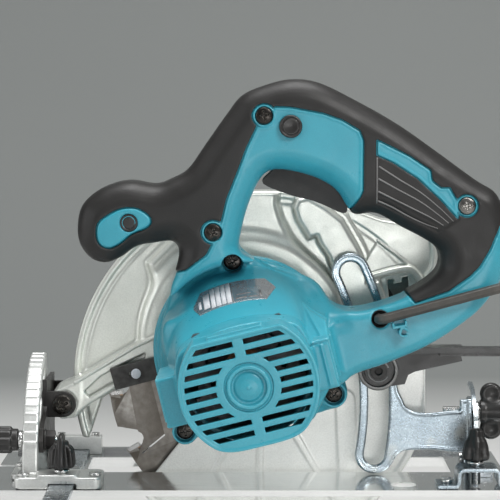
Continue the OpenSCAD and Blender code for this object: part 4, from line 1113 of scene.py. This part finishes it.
def build_guard():
    grid = Grid((-103.5, -11.2, -45.2), (99, 10, 93), 0.66)
    y = grid.y
    dx, dz = grid.x - ARBOR[0], grid.z - ARBOR[1]
    reach = grid.circle(ARBOR, 0)
    sector = overlap(dx * math.sin(GUARD_FROM) - dz * math.cos(GUARD_FROM),
                     -dx * math.sin(GUARD_TO) + dz * math.cos(GUARD_TO))
    wall = join(trim(reach - 101.9, sector, 2.0), grid.circle(ARBOR, 33))
    d = grid.slab(overlap(wall, 26.1 - reach), -9.0, -7.4, 0.7, 0.3)
    # outer band, far wall, rolled rim; columns: inner and outer radius, y0, y1, edge, fillet
    for inner, outer, y0, y1, edge, fillet in (
            (99.2, 102, -9.0, 9.0, 0.9, 0.6),
            (42, 99.6, 7.4, 9.0, 0.5, 0.5),
            (98.4, 102, -9.5, -6, 0.8, 0.8)):
        band = trim(between(reach, inner, outer), sector, 1.0)
        d = fuse(d, grid.slab(band, y0, y1, edge), fillet)
    groove = trim(between(reach, 97.0, 97.8), sector + 1, 1.0)
    d = cut(d, grid.slab(groove, -11, -8.7, 0.2), 0.5)
    # radial ribs
    for degrees in (242, 268, 300):
        out = polar((0, 0), 1, degrees)
        along = dx * out[0] + dz * out[1]
        side = np.abs(-dx * out[1] + dz * out[0])
        rib = overlap(side - (2.6 - 0.018 * along), between(along, 36, 96))
        d = fuse(d, grid.slab(rib, -9.65, -8.0, 0.6), 1.0)
    # broad pressed ridge near the rear
    t = np.clip((grid.z - 2) / 44, 0, 1)
    ridge = length(grid.x - (52 - 2 * t), grid.z - (2 + 44 * t)) - 5.2
    d = fuse(d, grid.slab(ridge, -10.0, -8.0, 1.4), 2.4)
    # front edge swept back; (radius, degrees) round the arbor
    swept = grid.xz([polar(ARBOR, radius, degrees) for radius, degrees in (
        (104, 213), (104, 216), (88, 221), (60, 216), (58, 211))])
    d = cut(d, swept, 0.8)
    # nothing stands proud of the chamber it swings into
    d = overlap(d, -9.62 - y)
    # hub ring turning on the bearing retainer
    d = join(d, overlap(between(reach, 24.15, 28.4), between(y, -9.7, -5.4)))
    field_mesh("guard_shell", grid, d, "guard_aluminium", "lower_guard", body="guard")


# ---------------------------------------------------------------- slotted depth guide
def build_guide():
    grid = Grid((38, -31, 1.5), (127.5, 21, 140.5), 0.56)
    x, y, z = grid.x, grid.y, grid.z
    dx, dz = x - PIVOT[0], z - PIVOT[1]
    reach = length(dx, dz)
    angle = np.arctan2(dz, dx)
    start, end = math.radians(-9.6), math.radians(24.6)

    def track(width):
        """Curved strip along the guide arc with round ends."""
        ends = [length(dx - GUIDE_RADIUS * math.cos(a), dz - GUIDE_RADIUS * math.sin(a))
                for a in (start, end)]
        middle = np.where((angle > start) & (angle < end), np.abs(reach - GUIDE_RADIUS), 1e3)
        return join(middle, *ends) - width / 2

    foot = grid.xz(curve([
        (71, 12), (76, 12.5), (80, 15.6), (86, 18.0), (100, 18.6), (125.5, 18.6),
        (125.5, 41.0), (100, 41), (92, 41.6), (86, 44.5), (81, 51), (70, 54)], 4))
    post = grid.xz([(118, 18.6), (125.5, 18.6), (125.5, 49), (118, 49)])
    outline = fuse(fuse(track(23.0), foot, 6.0), post, 2.0)
    d = grid.slab(outline, -30.0, -27.0, 1.35, 0.6)
    rolled_edge = np.abs(outline + 1.2) - 0.8
    d = fuse(d, grid.slab(rolled_edge, -30.12, -28, 0.5), 0.5)
    d = cut(d, track(12.3), 1.6)
    # plate across the rear
    plate = grid.yz([(-30, 18.6), (-30, 49), (-18, 49), (-14, 41), (6, 18), (6, 8.6), (4, 6.4),
                     (1.4, 3.9), (-4, 3.9), (-12, 14)])
    d = fuse(d, rounded(plate, np.abs(x - 124.1) - 1.3, edge=0.5), 1.2)
    clamp = length(y + 25, z - 41.4)
    d = cut(d, overlap(clamp - 3.15, 120 - x))
    d = cut(d, overlap(length(y, z - 8) - 3.1, 120 - x))
    d = cut(d, overlap(clamp - 3.5, x - 122.7))
    d = overlap(d, x - 125.4)
    field_mesh("depth_guide_plate", grid, d, "zinc_steel", "depth_guide", body="bevel_frame")


# ---------------------------------------------------------------- front quadrant
BEVEL_AXIS = (0, 8)         # (y, z), runs along x
QUADRANT_SLOT = 59          # radius of the curved slot
SLOT_ENDS = (112, 159.5)    # degrees


def build_quadrant():
    """Cast arc with a graduated rim, foot and clamp block."""
    grid = Grid((-152.5, -81.5, -0.6), (-92.5, 27.5, 80.2), 0.62)
    x, y, z = grid.x, grid.y, grid.z
    reach = length(y, z - BEVEL_AXIS[1])
    degrees = np.degrees(np.arctan2(z - BEVEL_AXIS[1], y))
    outline = grid.yz(arc(BEVEL_AXIS, 66.6, np.linspace(94, 165, 36))
                      + [(-66.4, 3.7), (14, 3.7), (14, 12), (11, 19), (3, 24)])
    d = rounded(outline, np.abs(x + 136.7) - 4.7, edge=1.3)
    # graduations: raised across the rim, engraved on its front face
    for mark in range(97, 166, 5):
        side = np.abs(degrees - mark) * math.pi / 180 * reach
        raised = overlap(side - 0.55, between(reach, 64, 67.15), between(x, -140.9, -133.2))
        d = fuse(d, raised, 0.5)
        engraved = overlap(side - 0.34, between(reach, 63.6, 65.6), x + 140.95)
        d = cut(d, engraved, 0.25)
    window = grid.yz(arc(BEVEL_AXIS, 50, np.linspace(100, 150, 16))
                     + arc(BEVEL_AXIS, 26, np.linspace(144, 104, 10)))
    d = cut(d, window, 1.4)
    slot = overlap(np.abs(reach - QUADRANT_SLOT) - 3.7, between(degrees, *SLOT_ENDS))
    for a in map(math.radians, SLOT_ENDS):
        slot = join(slot, length(y - QUADRANT_SLOT * math.cos(a),
                                 z - BEVEL_AXIS[1] - QUADRANT_SLOT * math.sin(a)) - 3.7)
    d = cut(d, slot, 0.7)
    d = cut(d, reach - 3.15)
    # clamp block, pad on it, foot; columns: centre x and y, half sizes, corner,
    # centre z, half height, edge, fillet
    for cx, cy, half_x, half_y, corner, cz, half_z, edge, fillet in (
            (-119.5, -65, 25.5, 15, 5.0, 7.25, 3.55, 1.4, 1.6),
            (-120, -68.8, 12.1, 10.8, 3.0, 10.2, 2.0, 0.9, 0.8),
            (-141, -12, 9, 38, 5.0, 5.6, 1.9, 0.9, 3.0)):
        plan = trim(np.abs(x - cx) - half_x, np.abs(y - cy) - half_y, corner)
        d = fuse(d, rounded(plan, np.abs(z - cz) - half_z, edge=edge), fillet)
    d = overlap(d, 3.7 - z)
    d = cut(d, overlap(between(x, -151, -141.5), np.abs(y) - 5, z - 14))
    d = cut(d, overlap(np.abs(x + 116.8) - 8.2, z - 7.1, np.abs(y + 65) - 16), 0.3)
    # upright holes: x, y, radius
    for hole_x, hole_y, radius in (
            (-117.7, -70.7, 3.1), (-139.5, -74, 2.2), (-145.8, -22, 2.2), (-145.8, 18, 2.2),
            (-98, -72, 2.2)):
        d = cut(d, length(x - hole_x, y - hole_y) - radius)
    field_mesh("quadrant_casting", grid, d, "cast_aluminium", "front_quadrant",
               finish="cast_bright", body="sole")


# ---------------------------------------------------------------- clamp knobs
def build_threaded(name, body, axis, centre, thread, collar, collar_segments, finish="steel"):
    """Threaded bar with a turned collar, a (radius, height) profile.

    thread: radius, start, end, pitch, depth
    """
    radius, start, end, pitch, depth = thread
    root = radius - depth
    profile = [(0, start), (root, start)]
    for i in range(int((end - start) / pitch)):
        foot = start + i * pitch
        profile += [(root, foot + 0.08 * pitch), (radius, foot + 0.42 * pitch),
                    (radius, foot + 0.58 * pitch), (root, foot + 0.92 * pitch)]
    profile += [(root, end), (root - 0.4, end + 0.4), (0, end + 0.4)]
    bm = bmesh.new()
    lathe(bm, profile, centre, axis, 28)
    lathe(bm, collar, centre, axis, collar_segments)
    mesh_piece(name, bm, "steel", finish=finish, body=body)


def build_front_rule_knob():
    """Upright knob with six fins, two of them tall."""
    centre = (-117.7, -70.7)
    grid = Grid((-127.4, -80.4, 14.2), (-108, -61, 37.6), 0.36)
    x, y, z = grid.x - centre[0], grid.y - centre[1], grid.z
    rho = length(x, y)
    d = trim(rho - (6.3 - 1.9 * np.clip((z - 15) / 14, 0, 1)), np.abs(z - 23) - 8, 1.6)
    rise = np.clip((z - 16) / 20, 0, 1)
    for degrees in (-90, -30, 30, 90, 150, 210):
        cos, sin = polar((0, 0), 1, degrees)
        out = x * cos + y * sin
        side = -x * sin + y * cos
        half, top = (2.0, 35.6) if abs(degrees) == 90 else (2.2, 30.0)
        fin = trim(between(out, 0, 8.6 - 3.4 * rise ** 2),
                   np.abs(side) - (half - 0.3 * rise), 1.6)
        fin = trim(fin, between(z, 15.4, top - 0.05 * (np.abs(out) ** 2)), 2.2)
        d = fuse(d, fin, 0.9)
    d = cut(d, overlap(rho - 3.0, z - 26), 0.3)
    field_mesh("rule_clamp_knob", grid, d, "black_plastic", "front_rule_knob",
               body="front_rule_knob")
    collar = [(0, 12.5), (4.4, 12.5), (4.7, 12.8), (4.7, 14.0), (4.3, 14.4), (3.6, 14.6),
              (3.5, 15.8), (0, 15.8)]
    build_threaded("rule_clamp_screw", "front_rule_knob", "z", (*centre, 0),
                   (2.94, 6.9, 25.0, 0.9, 0.4), collar, 28, finish="chrome_screw")


def build_rear_rule_knob():
    """Upright knob with six lobes fading towards its top."""
    centre = (124.0, -66.0)
    grid = Grid((114.4, -75.6, 18.2), (133.6, -56.4, 38.4), 0.36)
    x, y, z = grid.x - centre[0], grid.y - centre[1], grid.z
    rho = length(x, y)
    heights = np.array([18.5, 20.0, 22.0, 27.0, 30.5, 33.0, 36.0, 37.6, 39])
    radii = np.array([7.4, 8.4, 8.5, 7.6, 6.4, 4.8, 4.2, 3.4, 2.0])
    radius = np.interp(grid.axes[2], heights, radii)[None, None, :]
    lobe = 0.5 + 0.5 * np.cos(np.arctan2(y, x) * 6 + math.pi)
    lobe_depth = np.clip((34 - z) / 10, 0.25, 1) * 1.7
    d = (rho - (radius - lobe_depth * (1 - lobe) ** 1.6)) * 0.85
    d = trim(d, np.abs(z - 28.2) - 9.3, 1.8)
    d = cut(d, overlap(rho - 3.0, z - 30), 0.3)
    field_mesh("spare_clamp_knob", grid, d, "black_plastic", "rear_rule_knob",
               body="rear_rule_knob")
    collar = [(0, 16.2), (4.4, 16.2), (4.8, 16.6), (4.8, 18.0), (4.4, 18.5), (0, 18.5)]
    build_threaded("spare_clamp_screw", "rear_rule_knob", "z", (*centre, 0),
                   (2.92, 4.6, 28.5, 0.95, 0.42), collar, 28)


def build_rear_wing():
    """Wing knob on a screw along x, one wing up and one down."""
    axis_y, axis_z = -25.0, 41.4
    grid = Grid((129.6, -34.5, 22.5), (152.0, -15.5, 60.5), 0.42)
    x, y, z = grid.x, grid.y - axis_y, grid.z - axis_z
    rho = length(y, z)
    t = np.clip((x - 130) / 16, 0, 1)
    d = trim(rho - (5.9 + 1.6 * t), np.abs(x - 140.4) - 9.6, 2.0)
    for side in (-1, 1):
        outline = np.sqrt((x - 137.2) ** 2 * 0.92 + (z - side * 10.6) ** 2) - 6.5
        wing = rounded(outline, np.abs(y) - 3.4, edge=2.8)
        thumb_dish = length(x - 137.4, y + 9.6, z - side * 11.0) - 7.4
        d = fuse(d, cut(wing, thumb_dish, 1.2), 3.0)
    d = fuse(d, trim(rho - 6.4, np.abs(x - 132.0) - 1.6, 0.5), 0.6)
    d = cut(d, overlap(rho - 3.0, x - 140), 0.3)
    field_mesh("bevel_wing_knob", grid, d, "black_plastic", "rear_bevel_knob",
               body="rear_bevel_knob")
    collar = [(0, 127.4), (5.8, 127.4), (6.1, 127.7), (6.1, 129.3), (5.8, 129.7), (0, 129.7)]
    build_threaded("bevel_wing_screw", "rear_bevel_knob", "x", (0, axis_y, axis_z),
                   (2.92, 108.2, 139.0, 1.0, 0.42), collar, 32)


def build_front_bevel():
    """Fluted knob on a screw along x."""
    axis_y, axis_z = -55.0, 28.9
    grid = Grid((-174, -64, 20), (-143.6, -46, 38), 0.4)
    x, y, z = grid.x, grid.y - axis_y, grid.z - axis_z
    rho = length(y, z)
    lobe = 0.5 + 0.5 * np.cos(np.arctan2(z, y) * 8)
    d = (rho - (8.0 - 1.1 * (1 - lobe) ** 2)) * 0.9
    d = trim(d, np.abs(x + 160.4) - 12.4, 1.6)
    d = fuse(d, trim(rho - 6.6, np.abs(x + 147.2) - 2.7, 0.6), 0.5)
    d = cut(d, overlap(rho - 3.05, -(x + 153)), 0.3)
    d = cut(d, overlap(np.abs(x + 170.2) - 0.45, 7.2 - rho), 0.3)
    field_mesh("bevel_front_knob", grid, d, "black_plastic", "front_bevel_knob",
               body="front_bevel_knob")
    collar = [(0, -144.3), (5.3, -144.3), (5.6, -144.0), (5.6, -142.0), (5.3, -141.7),
              (0, -141.7)]
    build_threaded("bevel_front_screw", "front_bevel_knob", "x", (0, axis_y, axis_z),
                   (2.98, -148, -121.6, 1.0, 0.42), collar, 32, finish="chrome_screw")


# ---------------------------------------------------------------- small hardware
def build_hat():
    """Pressed hat-section bracket; the strip follows a bent centre line in (x, z)."""
    def corner(cx, cz, start, end):
        return arc((cx, cz), 3.0, np.linspace(start, end, 7))

    line = [(101.8, 4.8), *corner(110.4, 7.8, -90, 0), *corner(116.6, 11.6, 180, 90),
            *corner(133.8, 11.6, 90, 0), *corner(139.9, 7.8, 180, 270), (143.2, 4.8)]
    grid = Grid((100, -79, 2.8), (145, -55, 16.6), 0.42)
    x, y, z = grid.x, grid.y, grid.z
    # plain floats keep the samples in single precision
    line = [tuple(map(float, point)) for point in line]
    strip = join(*[segment((x, z), a, b) for a, b in zip(line, line[1:])])
    d = rounded(strip - 1.1, np.abs(y + 67) - 11, edge=0.35)
    for hole_x, hole_y in ((107, -68), (107, -60)):
        d = cut(d, length(x - hole_x, y - hole_y) - 2.2)
    d = cut(d, overlap(length(x - 124, y + 66) - 3.1, 10 - z))
    field_mesh("hat_bracket", grid, d, "zinc_steel", "rear_rule_bracket", body="sole")


KEY_ANGLE = math.radians(15)
KEY_BEND = (65.4, -98.0, 104.6)     # where the two arms would meet


def build_key():
    """Hexagonal bar: a short arm along y, a rounded elbow and a long arm rising rearward."""
    x, y, z = KEY_BEND
    elbow, reach, steps = 4.2, 71.2, 8

    def on_arm(distance, y):
        return (x + distance * math.cos(KEY_ANGLE), y, z + distance * math.sin(KEY_ANGLE))

    points = [(x, -88.8, z), (x, -92.6, z)]
    for i in range(steps + 1):
        angle = math.pi / 2 * i / steps
        points.append(on_arm(elbow * (1 - math.cos(angle)), -93.8 - elbow * math.sin(angle)))
    for i in range(1, steps + 1):
        points.append(on_arm(elbow + (reach - elbow) * i / steps, y))
    bm = bmesh.new()
    tube(bm, points, lambda t: 3.05, sides=6)
    mesh_piece("hex_key_bar", bm, "black_steel", "hex_key", finish="key_steel", body="hex_key",
               bevel=0.45, angle=28)


def build_clip():
    """Clip holding the key, and the socket its short arm sits in."""
    grid = Grid((71, -100.4, 93), (84, -90.5, 105), 0.3)
    x, y, z = grid.x, grid.y, grid.z
    ring = np.abs(length(x - 79.2, z - 97.4) - 2.3) - 0.62
    ring = cut(ring, overlap(79.4 - x, np.abs(z - 96.9) - 1.0))
    hook = join(grid.xz([(73.0, 99.2), (81.4, 100.6), (81.2, 102.2), (72.8, 100.8)]),
                grid.xz([(72.9, 99.2), (74.3, 99.4), (73.6, 103.0), (72.4, 102.8)]),
                grid.xz([(80.0, 100.4), (81.5, 100.6), (80.8, 104.2), (79.6, 104.0)]),
                ring,
                grid.xz([(76.4, 96.8), (77.8, 96.8), (78.6, 100.4), (77.2, 100.4)]))
    d = grid.slab(hook, -97.6, -91.2, 0.3)
    across_key = ((z - KEY_BEND[2]) * math.cos(KEY_ANGLE)
                  - (x - KEY_BEND[0]) * math.sin(KEY_ANGLE))
    d = cut(d, length(y - KEY_BEND[1], across_key) - 3.35)
    field_mesh("key_clip_hook", grid, d, "teal_plastic", "key_clip")
    bm = bmesh.new()
    lathe(bm, [(0, -82.6), (4.4, -82.6), (4.6, -83.0), (4.85, -91.0), (5.15, -91.0),
               (5.15, -81.8), (0, -81.8)], (66.2, 0, 104.4), "y", 40)
    mesh_piece("key_socket", bm, "black_plastic")


def build_lock_button():
    grid = Grid((7, -97, 206), (23, -48.4, 222), 0.36)
    x, z = LOCK_BUTTON
    d = grid.slab(grid.circle(LOCK_BUTTON, 6.55), -95.0, -50.0, 0.9)
    groove = overlap(np.abs(grid.circle(LOCK_BUTTON, 4.9)) - 0.32, np.abs(grid.y + 95) - 0.5)
    d = cut(d, groove, 0.3)
    d = cut(d, length(grid.x - x, grid.y + 106, grid.z - z) - 11.5, 0.6)
    field_mesh("lock_button", grid, d, "black_plastic", "lock_off_button", body="lock_off")


def build_lever_rings():
    """Ring round the lever hub and two raised arcs on it."""
    bm = bmesh.new()
    lathe(bm, [(9.6, -41.5), (11.8, -41.5), (12.0, -41.8), (12.0, -43.3), (11.6, -43.8),
               (10.0, -43.8), (9.6, -43.4), (9.6, -41.5)], (LEVER[0], 0, LEVER[1]), "y", 64)
    steps = 16
    # columns: start and end degrees, inner and outer radius, near face
    for start, end, inner, outer, face in ((20, 150, 5.6, 6.6, -46.9),
                                           (170, 330, 5.8, 6.6, -46.7)):
        rings = []
        for i in range(steps + 1):
            ring = []
            for radius, y in ((inner, -46.1), (outer, -46.1), (outer, face), (inner, face)):
                x, z = polar(LEVER, radius, start + (end - start) * i / steps)
                ring.append(add_vert(bm, (x, y, z)))
            rings.append(ring)
        bridge(bm, rings)
        bm.faces.new(rings[0])
        bm.faces.new(rings[-1])
    mesh_piece("lever_hub_rings", bm, "black_steel", finish="gun_ring", body="depth_lever",
               bevel=0.2, segments=1)


def build_shaft_lock():
    bm = bmesh.new()
    lathe(bm, [(0, -37.9), (2.6, -37.9), (2.9, -37.6), (2.9, -35.4), (1.5, -35.2), (1.5, -31),
               (0, -31)], (-76, 0, 65.6), "y", 40)
    mesh_piece("shaft_lock_head", bm, "steel", "shaft_lock_screw", finish="plate_pale")


TEETH = 16
FIRST_TOOTH = 207.8     # degrees


def build_tooth_blocks(name, slot, finish, start, end, inner, outer, half, bevel):
    """One block per blade tooth: start and end round the rim, inner and outer radius."""
    corners = ((start, inner), (end, inner - 0.6), (end, outer - 1.2), (start * 0.2, outer))
    faces = ((0, 1, 2, 3), (7, 6, 5, 4), (0, 4, 5, 1), (1, 5, 6, 2), (2, 6, 7, 3), (3, 7, 4, 0))
    bm = bmesh.new()
    for k in range(TEETH):
        cos, sin = polar((0, 0), 1, FIRST_TOOTH + 360 / TEETH * k)
        verts = [add_vert(bm, (ARBOR[0] + cos * radius - sin * along, y,
                               ARBOR[1] + sin * radius + cos * along))
                 for y in (-half, half) for along, radius in corners]
        for face in faces:
            bm.faces.new([verts[i] for i in face])
    mesh_piece(name, bm, slot, finish=finish, body="arbor", bevel=bevel, segments=1,
               smooth=False)


# ---------------------------------------------------------------- CAD pieces
# nodes given another finish than their CAD material's
NODE_FINISHES = {
    "motor_cap": "teal_plastic", "brush_caps": "teal_plastic", "knob_inset": "teal_plastic",
    "key_clip": "teal_plastic", "power_cord": "cord_rubber", "cord_guard": "cord_rubber",
    "hex_key": "key_steel", "housing_screws": "black_screw", "handle_screws": "black_screw",
    "case_screws": "black_screw", "sole_screws": "chrome_screw",
    "shaft_lock_screw": "chrome_screw", "trigger": "grip_rubber", "nameplate": "plate",
    "far_rule_holder": "cast_bright", "hinge_pin": "black_steel", "depth_bolt": "black_steel"}


def dress(ob):
    """Finish by material name, cleaned faces and eased edges."""
    for slot in ob.material_slots:
        key = slot.material.name.split(".")[0] if slot.material else ""
        slot.material = MATERIALS[key if key in CAD_FINISHES else "steel"]
    for face in ob.data.polygons:
        face.use_smooth = True
    weld = ob.modifiers.new("weld", "WELD")
    weld.merge_threshold = 2e-6
    flat = ob.modifiers.new("flat", "DECIMATE")
    flat.decimate_type = "DISSOLVE"
    flat.angle_limit = math.radians(2.0)
    flat.delimit = {"MATERIAL"}
    add_bevel(ob, width=0.35, segments=2, angle=34, keep_sharp=False)


# ---------------------------------------------------------------- stage, light, camera; metres
def build_floor():
    """Floor curving up into a back wall."""
    floor_z, bend_y, radius, half_width = -0.0752, 0.25, 0.5, 3.2
    profile = [(-3.2, floor_z), (bend_y, floor_z)]
    for i in range(1, 13):
        angle = math.pi / 2 * i / 12
        profile.append((bend_y + radius * math.sin(angle),
                        floor_z + radius * (1 - math.cos(angle))))
    profile += [(bend_y + radius, 1.6), (bend_y + radius, 3.2)]
    bm = bmesh.new()
    bridge(bm, [[bm.verts.new((x, y, z)) for x in (-half_width, half_width)]
                for y, z in profile], closed=False)
    mesh = bpy.data.meshes.new("studio_sweep")
    bm.to_mesh(mesh)
    bm.free()
    for face in mesh.polygons:
        face.use_smooth = True

    material, nodes, output, surface = new_material("studio_floor")
    coords = nodes.add("TexCoord").outputs["Object"]
    height = nodes.add("SeparateXYZ", {0: coords}).outputs["Z"]
    # pale floor, the wall darker as painted shade for the weaker light on it
    color = nodes.blend(nodes.remap(height, low=-0.073, high=-0.01),
                        (0.62, 0.62, 0.61), (0.165, 0.174, 0.170))
    nodes.tree.links.new(color, surface.inputs["Base Color"])
    surface.inputs["Roughness"].default_value = 0.75
    # seen from its front only, so a view from behind is not blocked
    behind = nodes.add("NewGeometry").outputs["Backfacing"]
    clear = nodes.add("BsdfTransparent").outputs[0]
    mixed = nodes.add("MixShader", {0: behind, 1: surface.outputs[0], 2: clear}).outputs[0]
    nodes.tree.links.new(mixed, output.inputs["Surface"])
    add_object("studio_sweep", mesh, material)


def build_world():
    """Sky going from dark below to pale above."""
    world = bpy.data.worlds.new("studio")
    bpy.context.scene.world = world
    nodes = Nodes(world)
    output = nodes.add("OutputWorld")
    coords = nodes.add("TexCoord").outputs["Generated"]
    height = nodes.add("SeparateXYZ", {0: coords}).outputs["Z"]
    ramp = nodes.add("ValToRGB", {0: nodes.remap(height, low=-1.0, high=1.0)})
    low, high = ramp.color_ramp.elements
    low.position, low.color = 0.30, (0.10, 0.10, 0.105, 1)
    high.position, high.color = 0.95, (0.75, 0.77, 0.78, 1)
    sky = nodes.add("Background", {0: ramp.outputs[0], 1: 0.48})
    nodes.tree.links.new(sky.outputs[0], output.inputs[0])


# name, place, target, width, height, watts, colour
LIGHTS = [
    ("key", (0.80, -1.05, 1.10), (0, -0.05, 0.1), 0.5, 0.5, 14.0, (1.0, 0.99, 0.97)),
    ("fill", (-1.15, -0.85, 0.40), (0, -0.05, 0.1), 0.6, 0.6, 2.8, (0.97, 0.99, 1.0)),
    ("top", (0.05, -0.10, 1.25), (0, -0.02, 0.1), 0.6, 0.6, 9.0, (1, 1, 1)),
    ("low_card", (0.35, -1.55, -0.03), (0.05, -0.05, 0.05), 0.8, 0.25, 5.0, (1, 1, 1)),
    ("front_strip", (-1.2, -0.2, 0.3), (-0.05, 0, 0.1), 0.2, 0.9, 1.8, (1, 1, 1)),
    ("back_wash", (-0.1, 0.15, 1.5), (0, 0.75, 0.25), 1.2, 1.2, 6.3, (1, 1, 1))]


def build_light(name, place, target, width, height, energy, color):
    light = bpy.data.lights.new(name, "AREA")
    light.shape = "RECTANGLE"
    light.size = width
    light.size_y = height
    light.energy = energy
    light.color = color
    ob = bpy.data.objects.new(name, light)
    ob.location = place
    aim = Vector(target) - Vector(place)
    ob.rotation_euler = aim.to_track_quat("-Z", "Y").to_euler()
    ob.visible_camera = False
    bpy.context.scene.collection.objects.link(ob)


def build_camera():
    camera = bpy.data.cameras.new("photo_view")
    camera.sensor_width = 36
    camera.lens = 153.7
    camera.clip_start = 0.05
    camera.clip_end = 20
    ob = bpy.data.objects.new("photo_view", camera)
    ob.location = (-0.008, -1.3, 0.239)
    ob.rotation_euler = (math.radians(85.5), 0, 0)
    bpy.context.scene.collection.objects.link(ob)
    bpy.context.scene.camera = ob
    bpy.context.scene.view_settings.view_transform = "Standard"


# ---------------------------------------------------------------- build
build_housing()
build_cap()
for row in SCREWS:
    build_screw(*row)
build_badge()
build_palm()
build_rating_plate()
build_print("plate_blocks", "plate_pale", PALE_BLOCKS)
build_print("plate_bands", "plate_ink", DARK_BANDS)
build_case()
build_guard()
build_guide()
build_quadrant()
build_front_rule_knob()
build_rear_rule_knob()
build_rear_wing()
build_front_bevel()
build_hat()
build_key()
build_clip()
build_lock_button()
build_lever_rings()
build_screw("pivot_screw", PIVOT, -38.4, 5.9, 0.5, "black_screw", body="bevel_frame", dome=1.2)
build_shaft_lock()
build_tooth_blocks("carbide_tips", "steel", "carbide", start=-0.2, end=2.3, inner=86.6,
                   outer=94.9, half=1.15, bevel=0.12)
build_tooth_blocks("braze_seams", "copper", "braze", start=2.2, end=2.9, inner=87.0,
                   outer=93.0, half=0.95, bevel=0.1)

for node in NODES:
    dress(NODES[node])
for node, finish_name in NODE_FINISHES.items():
    NODES[node].data.materials.clear()
    NODES[node].data.materials.append(MATERIALS[finish_name])

build_floor()
build_world()
for row in LIGHTS:
    build_light(*row)
build_camera()
